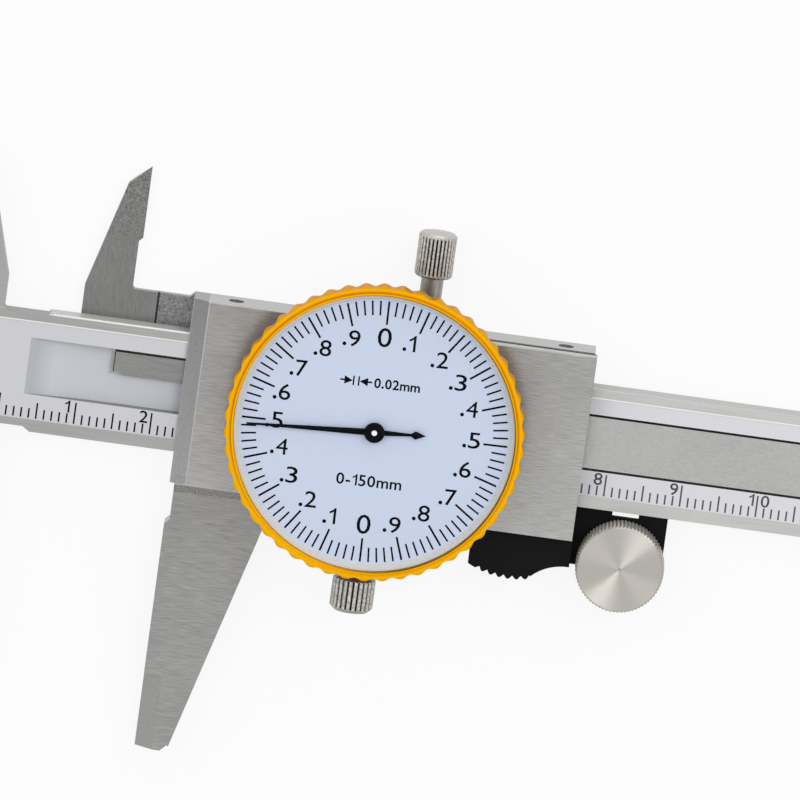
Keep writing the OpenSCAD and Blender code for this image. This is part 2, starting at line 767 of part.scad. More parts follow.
// Slope from the slider's lower edge down to the outside jaw's front
module jaw_slope() {
  head = over - slider_low;
  foot = -slider_low - slope_h;
  right = jaw_tip_w + (jaw_l + head) * tan(jaw_taper);
  intersection() {
    prism_x(jaw_relief, right + over)
      polygon([[foot, -over], [head, -over], [head, front_z], [-slider_low, front_z], [foot, 0]]);
    plate(-over, front_z) polygon([
      [jaw_relief, foot], [right - (over + slope_h) * tan(jaw_taper), foot], [right, head],
      [jaw_relief, head],
    ]);
  }
}

module slider_holes() {
  translate([pinion_x, pinion_y, -over])
    cylinder(r = pinion_r + addendum * rack_module + 0.4, h = front_z + 2 * over);
  for (x = [gib_screw_left, slider_l - gib_screw_right])
    translate([x, channel_top - over, mid_z]) rotate([-90, 0, 0])
      cylinder(r = gib_screw_r + seat_gap, h = slider_top + 2 * over);
  translate([lock_x, channel_top - over, mid_z]) rotate([-90, 0, 0])
    cylinder(r = lock_thread_r + run_gap, h = slider_top + 2 * over);
  for (x = rest_screw_x)
    translate([x, -slide_gap, mid_z]) rotate([-90, 0, 0])
      countersink(small_head_r, small_r, slider_low + over);
  for (x = rod_screw_x)
    translate([x, groove_mid, front_z])
      countersink(rod_screw_head_r, rod_screw_r, front_wall + rod_drop + over);
  for (y = cover_screw_y)
    translate([cover_screw_x, y, slide_gap]) mirror([0, 0, 1])
      countersink(small_head_r, small_r, front_wall + over);
  for (p = case_screw_at)
    translate([dial_x + p[0], dial_y + p[1], 0]) cylinder(r = small_r + seat_gap, h = front_z + over);
  for (x = back_screw_x, y = back_screw_y)
    translate([x, y, inner_back_z - over]) cylinder(r = small_r + seat_gap, h = over + 2.1);
}

module slider() {
  seam_x = -inside_x + 2.9;
  color("darkgray") difference() {
    union() {
      slider_block();
      outside_jaw(-slider_low + over);
      jaw_slope();
      difference() {
        plate(back_z, inner_back_z) moving_inside_outline();
        translate([-inside_x, beam_h, 0]) knife_cut(back_z, back_wall);
        block([seam_x, beam_h - blade_tail - over, inner_back_z - 0.25],
          [seam_x + 0.25, slider_top_y, inner_back_z + over]);
      }
      block([rod_start + 1, groove_low + 0.6, -rod_drop], [slider_l, groove_top - 0.6, slide_gap]);
    }
    slider_holes();
  }
}

module gib_strip() {
  color("goldenrod") block([gib_inset, beam_h + slide_gap, mid_z - beam_t * 0.4],
    [slider_l - gib_inset, beam_h + slide_gap + gib_t, mid_z + beam_t * 0.4]);
}

module gib_screws() {
  low_y = beam_h + slide_gap + gib_t;
  sunk = 0.35;
  color("dimgray") for (x = [gib_screw_left, slider_l - gib_screw_right])
    translate([x, low_y, mid_z]) rotate([-90, 0, 0]) difference() {
      cylinder(r = gib_screw_r, h = slider_top_y - sunk - low_y);
      translate([-over - gib_screw_r, -slot_w / 2, slider_top_y - sunk - low_y - slot_d])
        cube([2 * over + 2 * gib_screw_r, slot_w, slot_d + over]);
    }
}

module back_plate() {
  color("silver") difference() {
    block([solid_back_l + seat_gap, -slide_gap - ledge_w + seat_gap, back_z],
      [slider_l, channel_top + ledge_w - seat_gap, inner_back_z]);
    for (x = back_screw_x, y = back_screw_y)
      translate([x, y, back_z]) mirror([0, 0, 1]) countersink(small_head_r, small_r, back_wall + over);
  }
}

module back_plate_screws() {
  color("dimgray") for (x = back_screw_x, y = back_screw_y)
    translate([x, y, back_z]) mirror([0, 0, 1]) countersunk(small_head_r, small_r, back_wall + 2);
}

module depth_rod() {
  half_w = (groove_top - groove_low) / 2 - rod_side_gap;
  color("lightgray") difference() {
    plate(-rod_drop - rod_t, -rod_drop) translate([0, groove_mid]) difference() {
      translate([rod_start, -half_w]) square([beam_end - rod_start, 2 * half_w]);
      translate([beam_end - rod_step_l, 0]) square([rod_step_l + over, half_w + over]);
      translate([beam_end - rod_step_l, half_w]) circle(half_w);
    }
    for (x = rod_screw_x)
      translate([x, groove_mid, -rod_drop - rod_t - over])
        cylinder(r = rod_screw_r + seat_gap, h = rod_t + 2 * over);
  }
}

module depth_rod_screws() {
  color("dimgray") for (x = rod_screw_x)
    translate([x, groove_mid, front_z])
      countersunk(rod_screw_head_r, rod_screw_r, front_z + rod_drop + rod_t);
}

// Outline of the front cover, set in by a margin, with its left end round the dial case
module cover_outline(margin) {
  difference() {
    translate([dial_x, margin - slider_low])
      square([slider_l + cover_over - dial_x - margin, slider_top_y + slider_low - 2 * margin]);
    translate([dial_x, dial_y]) circle(case_r + cover_case_gap + margin, $fn = 128);
  }
}

module cover_gasket() {
  color("black") plate(front_z, front_z + gasket_t) difference() {
    cover_outline(gasket_in);
    for (y = cover_screw_y)
      translate([cover_screw_x, y]) circle(small_r + seat_gap);
  }
}

module front_cover() {
  low_z = front_z + gasket_t;
  color("silver") difference() {
    plate(low_z, low_z + cover_t) cover_outline(0);
    for (y = cover_screw_y)
      translate([cover_screw_x, y, low_z - over])
        cylinder(r = small_r + seat_gap, h = over + cover_t * 0.7);
    prism_x(0, slider_l + 2 * over)
      translate([slider_top_y, low_z + cover_t]) rotate(45) square(edge_chamfer * sqrt(2), center = true);
  }
}

module cover_screws() {
  color("dimgray") for (y = cover_screw_y)
    translate([cover_screw_x, y, slide_gap]) mirror([0, 0, 1])
      countersunk(small_head_r, small_r, front_wall + gasket_t + cover_t * 0.7 - seat_gap);
}

// Edge of the thumb rest under the slider, with its serrations and its hollow
module rest_outline() {
  arc_y = rest_arc_r - rest_low;
  arc_pitch = serration_pitch / rest_arc_r * 180 / PI;
  difference() {
    union() {
      intersection() {
        translate([rest_left, -rest_low - over])
          square([rest_step_x - rest_left, rest_low + over - slider_low]);
        translate([rest_arc_x, arc_y]) circle(rest_arc_r, $fn = 96);
      }
      translate([rest_step_x, -rest_low]) square([rest_right - rest_step_x, rest_low - slider_low]);
    }
    translate([rest_right - 0.2, -arm_low - hollow_r]) circle(hollow_r);
    for (i = [0 : serrations - 1])
      translate([rest_arc_x, arc_y]) rotate(-90 + (i - serrations / 2) * arc_pitch)
        translate([rest_arc_r, 0]) rotate(45) square(serration_d * sqrt(2), center = true);
  }
}

// Arm behind the roller, with the window under the beam
module arm_outline() {
  arm_right = slider_l + arm_l;
  difference() {
    translate([slider_l + seat_gap, -arm_low]) square([arm_l - seat_gap, arm_low - arm_gap]);
    translate([slider_l + window_x, -arm_gap - window_d]) square([window_w, window_d + over]);
    translate([arm_right - arm_round, -arm_low]) difference() {
      translate([0, -over]) square([arm_round + over, arm_round + over]);
      translate([0, arm_round]) circle(arm_round);
    }
  }
}

module thumb_rest() {
  color("black") difference() {
    union() {
      plate(rest_back_z, rest_front) rest_outline();
      plate(rest_back_z, arm_front_z) {
        arm_outline();
        translate([rest_right - 2, -arm_low]) square([3, arm_low - slider_low]);
      }
    }
    for (x = rest_screw_x)
      translate([x, -slider_low - 3.6, mid_z]) rotate([-90, 0, 0])
        cylinder(r = small_r + seat_gap, h = 3.6 + over);
    block([slider_l + window_x, -arm_gap - window_d - window_back, rest_back_z - over],
      [slider_l + window_x + window_w, -arm_gap + over, arm_front_z - window_lip]);
    translate([slider_l + roller_x, roller_y, 0]) {
      disc(shaft_r + run_gap, rest_back_z - over, arm_front_z + over);
      disc(clip_pocket_r, rest_back_z - over, rest_back_z + clip_pocket_d);
    }
  }
}

module thumb_rest_screws() {
  color("dimgray") for (x = rest_screw_x)
    translate([x, -slide_gap, mid_z]) rotate([-90, 0, 0])
      countersunk(small_head_r, small_r, slider_low + 3.4);
}

module thumb_roller() {
  chamfer = 0.35;
  top_z = roller_z + roller_t;
  groove_z = clip_z - seat_gap;
  color("lightsteelblue") translate([slider_l + roller_x, roller_y, 0]) difference() {
    union() {
      intersection() {
        plate(roller_z, top_z)
          polygon(waves(roller_ridges, roller_r - roller_ridge_h / 2, roller_ridge_h, 2));
        rotate_extrude() polygon([
          [0, roller_z], [roller_r - chamfer, roller_z], [roller_r + over, roller_z + chamfer + over],
          [roller_r + over, top_z - chamfer - over], [roller_r - chamfer, top_z], [0.5, top_z - 0.1],
          [0.25, top_z - 0.1], [0, top_z - 0.35],
        ]);
      }
      disc(shaft_r, shaft_end_z, roller_z + over / 2);
    }
    difference() {
      disc(clip_r, groove_z, clip_z + clip_t + seat_gap);
      disc(clip_groove_r, groove_z - over, roller_z);
    }
  }
}

module roller_clip() {
  color("dimgray") translate([slider_l + roller_x, roller_y, 0])
    plate(clip_z, clip_z + clip_t) difference() {
      circle(clip_r);
      circle(clip_groove_r + seat_gap);
      translate([-clip_groove_r * 0.8, 0]) square([clip_groove_r * 1.6, 2 * clip_r]);
    }
}

module dial_case() {
  color("silver") difference() {
    union() {
      rotate_extrude($fn = 128) polygon([
        [0, front_z], [case_r, front_z], [case_r, rim_low - rim_over], [rim_r, rim_low],
        [rim_r, rim_z], [case_in_r, rim_z], [case_in_r, floor_z], [0, floor_z],
      ]);
      translate([0, -case_in_r - 0.3, clamp_axis_z]) rotate([90, 0, 0])
        cylinder(r = clamp_boss_r, h = clamp_boss_end - case_in_r - 0.3);
    }
    rotate_extrude($fn = 128) translate([rim_r - snap_in, snap_z - seat_gap])
      square([snap_in + over, snap_t + 2 * seat_gap]);
    for (p = case_screw_at)
      translate([p[0], p[1], front_z - over]) cylinder(r = small_r + seat_gap, h = case_floor + 2 * over);
    for (p = [[0, 0], [pinion_x - dial_x, pinion_y - dial_y]])
      translate([p[0], p[1], front_z - over]) cylinder(r = bush_r + seat_gap, h = case_floor + 2 * over);
    translate([0, -clamp_boss_end - over, clamp_axis_z]) rotate([-90, 0, 0])
      cylinder(r = clamp_shank_r + run_gap, h = clamp_boss_end + over - case_in_r + 0.3);
    translate([0, -plug_at, clamp_axis_z]) cylinder(r = plug_r + seat_gap, h = rim_z);
  }
}

module case_screws() {
  color("dimgray") for (p = case_screw_at)
    translate([p[0], p[1], floor_z]) pan_screw(small_r, case_floor + front_wall - 0.1);
}

module bezel_retaining_ring() {
  color("dimgray") translate([0, 0, snap_z]) rotate([0, 0, 100]) rotate_extrude(angle = 340, $fn = 128)
    translate([rim_r - snap_in + seat_gap, 0]) square([snap_in + snap_out - seat_gap, snap_t]);
}

module clamp_plug() {
  color("goldenrod") translate([0, -plug_at, 0]) disc(plug_r, plug_low_z, rim_z);
}

module arbor_bushes() {
  color("goldenrod") for (p = [[0, 0], [pinion_x - dial_x, pinion_y - dial_y]])
    translate([p[0], p[1], 0]) for (z = [[front_z, floor_z], [bridge_z, bridge_top]])
      difference() {
        disc(bush_r, z[0], z[1]);
        disc(arbor_r + run_gap, z[0] - over, z[1] + over);
      }
}

module pillars() {
  color("goldenrod") for (p = pillar_at)
    translate([p[0], p[1], 0]) difference() {
      disc(pillar_r, floor_z, bridge_z);
      disc(bridge_screw_r + seat_gap, floor_z + 0.8, bridge_z + over);
    }
}

module bridge_plate() {
  arbor = [pinion_x - dial_x, pinion_y - dial_y];
  corners = [pillar_at[0], arbor, pillar_at[1], pillar_at[2]];
  color("khaki") plate(bridge_z, bridge_top) difference() {
    union() {
      polygon(corners);
      for (p = corners) translate(p) circle(bridge_pad_r);
    }
    for (p = [[0, 0], arbor]) translate(p) circle(bush_r + seat_gap);
    for (p = pillar_at) translate(p) circle(bridge_screw_r + seat_gap);
  }
}

module bridge_screws() {
  color("dimgray") for (p = pillar_at)
    translate([p[0], p[1], bridge_top]) pan_screw(bridge_screw_r, bridge_t + movement_h - 1);
}

// Carries what turns on the rack pinion's arbor
module on_pinion() {
  on_slider() translate([pinion_x, pinion_y, 0]) children();
}

module pinion_arbor() {
  pinion_top = -rod_drop - 0.1;
  color("silver") {
    plate(-groove_d + face_gap, pinion_top)
      rotate(pinion_angle) polygon(gear_outline(pinion_teeth, rack_module));
    rotate_extrude() polygon([
      [0, -groove_d + face_gap], [arbor_r, -groove_d + face_gap], [arbor_r, floor_z + face_gap],
      [arbor_body_r, floor_z + face_gap], [arbor_body_r, bridge_z - face_gap],
      [arbor_r, bridge_z - face_gap], [arbor_r, bridge_top], [0, bridge_top],
    ]);
  }
}

module gear_blank(z) {
  plate(z, z + gear_t) rotate(gear_angle) difference() {
    polygon(gear_outline(gear_teeth, gear_module));
    circle(gear_bore_r);
    children();
  }
}

spring_r = gear_teeth * gear_module * 0.27;
spring_w = 0.3;

module drive_gear() {
  color("goldenrod") gear_blank(gear_z)
    for (a = [0 : 72 : 288]) rotate(a) translate([spring_r, 0]) circle(0.9);
}

module backlash_gear() {
  color("gold") gear_blank(backlash_z)
    difference() {
      circle(spring_r + spring_w);
      circle(spring_r - spring_w);
      rotate(-20) square([2 * spring_r, 2 * spring_r]);
    }
}

module backlash_spring() {
  color("silver") plate(backlash_z, backlash_z + gear_t * 0.8) rotate(gear_angle) difference() {
    circle(spring_r + spring_w / 2);
    circle(spring_r - spring_w / 2);
    rotate(-24) square([2 * spring_r, 2 * spring_r]);
    rotate(24) square([2 * spring_r, 2 * spring_r]);
  }
}

module centre_arbor() {
  low_z = front_z + face_gap;
  color("silver") {
    plate(gear_z - face_gap, backlash_z + gear_t + face_gap) rotate(centre_angle)
      polygon(gear_outline(centre_teeth, gear_module));
    rotate_extrude() polygon([
      [0, low_z], [arbor_r, low_z], [arbor_r, floor_z + face_gap], [arbor_body_r, floor_z + face_gap],
      [arbor_body_r, bridge_z - face_gap], [arbor_r, bridge_z - face_gap], [arbor_r, hub_z],
      [hub_pin_r, hub_z], [hub_pin_r, hub_z + hub_h + 0.05], [0, hub_z + hub_h + 0.05],
    ]);
  }
}

module pointer() {
  tip = pointer_tip_w / 2;
  neck = tail_neck_w / 2;
  spear_start = tail_reach - spear_l;
  spear_wide = tail_reach - spear_l * 0.7;
  color("black") plate(pointer_z, hub_z) rotate(pointer_angle) difference() {
    union() {
      circle(hub_r * 0.9);
      polygon([[0, -pointer_w / 2], [pointer_l, -tip], [pointer_l, tip], [0, pointer_w / 2]]);
      polygon([
        [0, pointer_w * 0.45], [-spear_start, neck], [-spear_wide, spear_w / 2], [-tail_reach, 0],
        [-spear_wide, -spear_w / 2], [-spear_start, -neck], [0, -pointer_w * 0.45],
      ]);
    }
    circle(arbor_r + seat_gap);
  }
}

module pointer_hub() {
  color("black") difference() {
    rotate_extrude() polygon([
      [0, hub_z], [hub_r, hub_z], [hub_r, hub_z + hub_h * 0.7],
      [hub_r - hub_h * 0.3, hub_z + hub_h], [0, hub_z + hub_h],
    ]);
    disc(hub_pin_r + seat_gap, hub_z - over, hub_z + hub_h + over);
  }
}

module bezel() {
  groove_r = bezel_bore_r + lip_w;
  reach = bezel_r + scallop_h;
  cham = 0.25;
  flange_in_r = case_in_r + 0.6;
  color("orange") intersection() {
    union() {
      plate(edge_low, bezel_top) polygon(waves(scallops, bezel_r, scallop_h, 8));
      disc(skirt_r, skirt_low, edge_low + 0.1);
    }
    rotate_extrude($fn = 128) polygon([
      [flange_in_r, flange_z], [rim_r + run_gap, flange_z], [rim_r + run_gap, snap_z + snap_t + face_gap],
      [rim_r + snap_out + face_gap, snap_z + snap_t + face_gap],
      [rim_r + snap_out + face_gap, snap_z - face_gap],
      [rim_r + run_gap, snap_z - face_gap], [rim_r + run_gap, skirt_low], [reach, skirt_low],
      [reach, edge_top - cham - 0.2], [bezel_r + 0.1, edge_top - 0.05], [groove_r + 0.18, edge_top - 0.05],
      [groove_r, edge_top - 0.1], [groove_r - 0.08, bezel_top], [bezel_bore_r + 0.12, bezel_top],
      [bezel_bore_r, bezel_top - 0.15], [bezel_bore_r, plate_z], [flange_in_r, plate_z],
    ]);
  }
}

module dial_plate() {
  color("aliceblue") plate(plate_z, dial_z) difference() {
    circle(bezel_bore_r - seat_gap, $fn = 128);
    circle(arbor_r + 0.6);
  }
}

module dial_ring() {
  outer = bezel_bore_r - seat_gap;
  ring_top = crystal_z - seat_gap;
  color("gainsboro") rotate_extrude($fn = 128)
    polygon([[ring_r, dial_z], [outer, dial_z], [outer, ring_top], [outer - 0.3, ring_top]]);
}

module crystal() {
  outer = bezel_bore_r - seat_gap;
  color([0.9, 0.95, 1, 0.3]) rotate_extrude($fn = 128)
    polygon([
      [0, crystal_z], [outer, crystal_z], [outer, crystal_top - 0.2], [outer - 0.2, crystal_top],
      [0, crystal_top],
    ]);
}

// Knurled head of length l with plain rims at its ends, standing on the origin along Z
module knurled_head(r, l, ridges, round) {
  crown = 0.15;
  intersection() {
    union() {
      linear_extrude(l) polygon(beads(ridges, r, ridge_h));
      disc(r - ridge_h / 2, 0, head_rim_h);
      disc(r - ridge_h / 3, l - crown - head_rim_h, l);
    }
    rotate_extrude() polygon([
      [0, 0], [r - round, 0], [r + over, round + over], [r + over, l - crown - round - over],
      [r - round, l - crown], [0, l],
    ]);
  }
}

module lock_screw() {
  head_y = slider_top_y + lock_stem_l;
  color("silver") translate([lock_x, 0, mid_z]) rotate([-90, 0, 0]) {
    disc(lock_thread_r, lock_tip_y, slider_top_y + face_gap + over / 2);
    disc(lock_stem_r, slider_top_y + face_gap, head_y + over);
    translate([0, 0, head_y]) knurled_head(lock_head_r, lock_head_l, lock_ridges, 0.3);
  }
}

module bezel_clamp_screw() {
  shank_l = clamp_head_start - clamp_tip;
  color("silver") translate([0, 0, clamp_axis_z]) rotate([90, 0, 0]) {
    translate([0, 0, clamp_tip]) rotate_extrude() polygon([
      [0, 0], [clamp_shank_r * 0.3, 0], [clamp_shank_r, cone_l],
      [clamp_shank_r, shank_l + over], [0, shank_l + over],
    ]);
    translate([0, 0, clamp_head_start]) knurled_head(clamp_head_r, clamp_head_l, clamp_ridges, 0.6);
  }
}

place() beam();
place() rack();
place() rack_screws();
place() end_stop();
place() end_stop_screws();
on_slider() slider();
on_slider() gib_strip();
on_slider() gib_screws();
on_slider() back_plate();
on_slider() back_plate_screws();
on_slider() depth_rod();
on_slider() depth_rod_screws();
on_slider() cover_gasket();
on_slider() front_cover();
on_slider() cover_screws();
on_slider() thumb_rest();
on_slider() thumb_rest_screws();
on_slider() thumb_roller();
on_slider() roller_clip();
on_dial() dial_case();
on_dial() case_screws();
on_dial() bezel_retaining_ring();
on_dial() clamp_plug();
on_dial() arbor_bushes();
on_dial() pillars();
on_dial() bridge_plate();
on_dial() bridge_screws();
on_pinion() pinion_arbor();
on_pinion() drive_gear();
on_pinion() backlash_gear();
on_pinion() backlash_spring();
on_dial() centre_arbor();
on_dial() pointer();
on_dial() pointer_hub();
on_dial() bezel();
on_dial() dial_plate();
on_dial() dial_ring();
on_dial() crystal();
on_slider() lock_screw();
on_dial() bezel_clamp_screw();
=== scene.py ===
import math

import bpy
from mathutils import Matrix, Vector


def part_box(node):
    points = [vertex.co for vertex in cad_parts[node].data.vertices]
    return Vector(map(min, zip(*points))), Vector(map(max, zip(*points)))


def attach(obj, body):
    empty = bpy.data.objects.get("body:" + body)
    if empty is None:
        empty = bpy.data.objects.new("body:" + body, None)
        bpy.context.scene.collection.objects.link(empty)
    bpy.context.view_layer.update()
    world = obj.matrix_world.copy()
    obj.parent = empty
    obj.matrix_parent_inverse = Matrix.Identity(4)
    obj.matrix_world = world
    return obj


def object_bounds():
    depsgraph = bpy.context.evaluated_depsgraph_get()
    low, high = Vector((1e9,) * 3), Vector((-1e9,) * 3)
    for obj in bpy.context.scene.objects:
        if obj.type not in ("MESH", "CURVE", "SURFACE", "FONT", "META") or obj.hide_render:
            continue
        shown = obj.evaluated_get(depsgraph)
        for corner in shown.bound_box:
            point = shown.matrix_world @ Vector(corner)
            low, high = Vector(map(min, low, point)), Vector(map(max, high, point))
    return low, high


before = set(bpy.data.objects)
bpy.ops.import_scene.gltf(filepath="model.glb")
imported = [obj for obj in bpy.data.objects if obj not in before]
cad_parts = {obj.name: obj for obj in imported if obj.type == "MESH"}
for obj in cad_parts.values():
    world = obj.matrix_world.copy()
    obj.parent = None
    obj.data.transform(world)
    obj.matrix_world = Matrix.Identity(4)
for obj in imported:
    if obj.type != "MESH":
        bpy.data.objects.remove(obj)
CAD_BOX = [list(corner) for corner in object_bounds()]

bl_info = {
    "name": "Dial caliper",
    "version": (1, 0, 0),
    "blender": (4, 5, 0),
    "location": "View3D > Sidebar > Caliper",
    "description": "Dresses the caliper's solids with its scales, finishes and a plain studio",
    "category": "Object",
}

MM = 0.001
# Half the thickness of a mask that picks out one flat face.
SKIN = 0.03 * MM
BEAM_HEIGHT = 16 * MM
# The slider above the beam's upper edge, below its lower edge, and left of the back plate.
SLIDER_RISE = 4.7 * MM
SLIDER_DROP = 4.08 * MM
SLIDER_LEAD = 6.52 * MM
# Where the painted highlights on the beam's upper edge begin, and where they grow fainter.
HIGHLIGHT_START = 4.4 * MM
PLAIN_START = 40 * MM
# The plating runs on past the end stop.
PLATING_PAST_STOP = 3.7 * MM
ARC_STEPS = 24

INK_RISE = 0.008 * MM
INK_SOFT = INK_RISE / 3
# Height of a figure in the font at size 1.
FONT_HEIGHT = 0.69
# Radius and sides of a dot beside figures of height 1.
DOT_RADIUS = 0.12
DOT_SIDES = 16
# The figure one with its flag, for a height of 1, and its stretch in width.
FLAGGED_ONE = ((0.27, 0), (0.41, 0), (0.41, 1), (0.32, 1), (0.21, 0.86), (0.04, 0.76),
               (0.04, 0.63), (0.17, 0.69), (0.27, 0.77))
ONE_STRETCH = 1.1

DIAL_TICKS = 100
# Middles of the dial's figures in mm from its centre, clockwise from the upper zero.
FIGURE_PLACES = ((-0.06, 12.58), (3.22, 12.17), (7.38, 10.44), (10.1, 7.76), (11.95, 4.42),
                 (12.69, 0.35), (11.94, -3.64), (10.46, -7.54), (7.25, -10.07), (3.63, -12.05),
                 (-0.04, -12.41), (-4.61, -11.79), (-7.65, -9.93), (-10.46, -6.97),
                 (-12.14, -3.36), (-13.15, 0.1), (-12.58, 3.9), (-10.75, 7.3), (-7.93, 10.29),
                 (-4.33, 12.02))
FIGURE_WIDTH = 0.72
# Thickening of the dial figures' strokes; the four would fill up with it.
FIGURE_WEIGHT = 0.004
# The legend's two bars, with half their width and height.
LEGEND_BARS = (-3.46 * MM, -2.78 * MM)
LEGEND_BAR_HALF = (0.1 * MM, 0.63 * MM)
# The tips of the two arrows that point at the bars, and the way back along each.
LEGEND_ARROWS = ((-3.56 * MM, -1), (-2.68 * MM, 1))
ARROW_LENGTH = 1.1 * MM
ARROW_HALF = 0.55 * MM
SHAFT_START = 0.6 * MM
SHAFT_END = 1.66 * MM
SHAFT_HALF = 0.11 * MM
LEGEND_WORDS_START = -0.76 * MM
# The range words' height against the legend's.
RANGE_ENLARGED = 1.15

# Size and share of the slow cloud over belt marks.
CLOUD_GRAIN = 9 * MM
CLOUD_SHARE = 0.2
# Share of metal on a ground face that scatters the light.
DULL_METAL = 0.2
# The ring wave turns by this many radians per unit of its scale.
WAVE_RATE = 20
# Half the width over which the bezel's bore darkens.
BORE_FADE = 6 * MM

WHITE = (1, 1, 1, 1)
FLOOR_SIZE = 6
FLOOR_GAP = 0.01 * MM
FLOOR_GREY = (0.82, 0.82, 0.82, 1)
# Share of plain white in what the camera and the metal see of the floor.
FLOOR_GLOW = 0.88
SKY = (0.92, 0.93, 0.95, 1)
SKY_LIGHT = 0.72
# Each lamp's name, place from the aim, width, height and power.
LAMPS = (
    ("key", (0.24, 0.205, 0.42), 0.2, 0.5, 0.86),
    ("fill", (-0.6, 0.2, 0.8), 0.6, 0.6, 1.5),
    ("edge", (0.1, 0.9, 0.25), 0.8, 0.25, 0.8),
)
SENSOR_WIDTH = 36
CLIP_END = 20


def linear(code):
    """sRGB hex to linear RGB."""
    parts = [int(code[i:i + 2], 16) / 255 for i in (1, 3, 5)]
    return tuple(p / 12.92 if p <= 0.04045 else ((p + 0.055) / 1.055) ** 2.4 for p in parts)


def size(words, about, value):
    return bpy.props.FloatProperty(name=words, description=about, default=value,
                                   subtype="DISTANCE", unit="LENGTH", precision=6)


def angle(words, about, degrees):
    return bpy.props.FloatProperty(name=words, description=about, default=math.radians(degrees),
                                   subtype="ANGLE", unit="ROTATION")


def tint(words, about, code):
    return bpy.props.FloatVectorProperty(name=words, description=about, default=linear(code),
                                         subtype="COLOR", size=3, min=0, max=1)


class BeamScaleSettings(bpy.types.PropertyGroup):
    low_edge: size("Lower edge", "Height of the beam's lower edge in the part's frame", 24.85 * MM)
    recess_low: size("Recess foot", "Lower edge of the recess above the beam's foot", 1.6 * MM)
    recess_high: size("Recess head", "Upper edge of the recess above the beam's foot", 14.6 * MM)
    groove_low: size("Groove foot", "Lower wall of the groove above the beam's foot", 4.95 * MM)
    groove_high: size("Groove head", "Upper wall of the groove above the beam's foot", 12.5 * MM)
    recess_start: size("Recess start", "Left end of the pale recess", -2.5 * MM)
    recess_depth: size("Recess depth", "Depth of the recess below the beam's front", 0.12 * MM)
    groove_depth: size("Groove depth", "Depth of the groove below the beam's front", 1.8 * MM)
    runout_start: size("Run-out start", "Left end of the groove's run-out", 2.7 * MM)
    runout_end: size("Run-out end", "Place where the groove reaches its full depth", 13.7 * MM)
    plating: size("Plating", "Thickness of the satin plating", 0.04 * MM)
    reach: size("Scale length", "Last graduation of the scale", 150 * MM)
    tick_foot: size("Tick foot", "Foot of the graduations above the recess's edge", 0.22 * MM)
    tick_width: size("Tick width", "Width of a graduation", 0.22 * MM)
    tick_one: size("1 mm tick", "Length of a 1 mm graduation", 1.3 * MM)
    tick_five: size("5 mm tick", "Length of a 5 mm graduation", 2.1 * MM)
    tick_ten: size("10 mm tick", "Length of a 10 mm graduation", 2.85 * MM)
    figure_height: size("Figure height", "Height of the scale's figures", 1.6 * MM)
    figure_foot: size("Figure foot", "Foot of the figures above the recess's edge", 1.64 * MM)
    figure_gap: size("Figure gap", "Gap between a figure and its graduation", 0.45 * MM)
    one_gap: size("One gap", "Gap between the single one and its graduation", 0.75 * MM)


class DialPrintSettings(bpy.types.PropertyGroup):
    turn: angle("Turn", "Turn of the dial's print with the bezel", 1.2)
    outer: size("Tick ring", "Radius at the outer ends of the graduations", 17.42 * MM)
    short: size("Short tick", "Radius at the inner end of a short graduation", 15.47 * MM)
    long: size("Long tick", "Radius at the inner end of a long graduation", 14.29 * MM)
    tick_width: size("Tick width", "Width of a short dial graduation", 0.235 * MM)
    long_width: size("Long tick width", "Width of a long dial graduation", 0.27 * MM)
    figure_height: size("Figure height", "Height of the dial's figures", 2.15 * MM)
    zero_height: size("Zero height", "Height of the two zeros", 2.55 * MM)
    legend_up: size("Legend height", "Graduation legend above the dial's centre", 6.45 * MM)
    legend_height: size("Legend letters", "Height of the legend's letters", 1.32 * MM)
    range_down: size("Range place", "Range words below the dial's centre", 6.75 * MM)


class FinishSettings(bpy.types.PropertyGroup):
    steel: tint("Slider steel", "Brushed stainless steel of the slider", "#9B9A98")
    cover_steel: tint("Cover steel", "Brushed steel of the front cover and the rod", "#A0A09E")
    beam_steel: tint("Beam steel", "Ground stainless steel of the beam", "#A2A2A0")
    plating: tint("Scale plating", "Satin chrome of the scale's recess", "#CBCBCE")
    runout: tint("Run-out plating", "Satin chrome of the groove's run-out", "#CACDD2")
    ink: tint("Ink", "Black ink of scales and figures", "#070708")
    bezel: tint("Bezel", "Yellow-orange anodised bezel", "#E7A70A")
    bare: tint("Bezel foot", "Bare metal below the bezel's colour", "#C6C5C2")
    dial: tint("Dial", "Pale lacquered dial", "#C8D2E6")
    ring: tint("Dial ring", "Pale grey ring round the dial", "#D8D7D4")
    black: tint("Black moulding", "Thumb rest and roller arm", "#0A0A0B")
    roller: tint("Roller", "Turned face of the thumb roller", "#B8B4AE")
    nickel: tint("Knobs", "Nickel plate of both knurled screws", "#989591")
    brass: tint("Brass", "Gears, bushes and strip", "#C7A558")
    dark_steel: tint("Dark steel", "Screws and clips", "#5A5A5A")
    arbor: tint("Arbor", "White point in the pointer's hub", "#F3F1EE")
    crystal: tint("Crystal", "Faint cool tone of the dial's window", "#8FA0C0")


class StageSettings(bpy.types.PropertyGroup):
    aim: bpy.props.FloatVectorProperty(name="Aim", description="Point at the picture's middle",
                                       default=(51.91 * MM, 35.75 * MM, 1.6 * MM),
                                       subtype="XYZ", unit="LENGTH", size=3)
    tilt: angle("Tilt", "Lean of the view towards the inside jaws", 11.54)
    roll: angle("Roll", "Fall of the beam towards the picture's right", 7.78)
    width: size("Picture width", "Width that the picture takes in", 104.57 * MM)
    distance: size("Camera distance", "Distance from the camera to the aim", 2.5)


def deselect():
    if bpy.context.mode != "OBJECT":
        bpy.ops.object.mode_set(mode="OBJECT")
    bpy.ops.object.select_all(action="DESELECT")


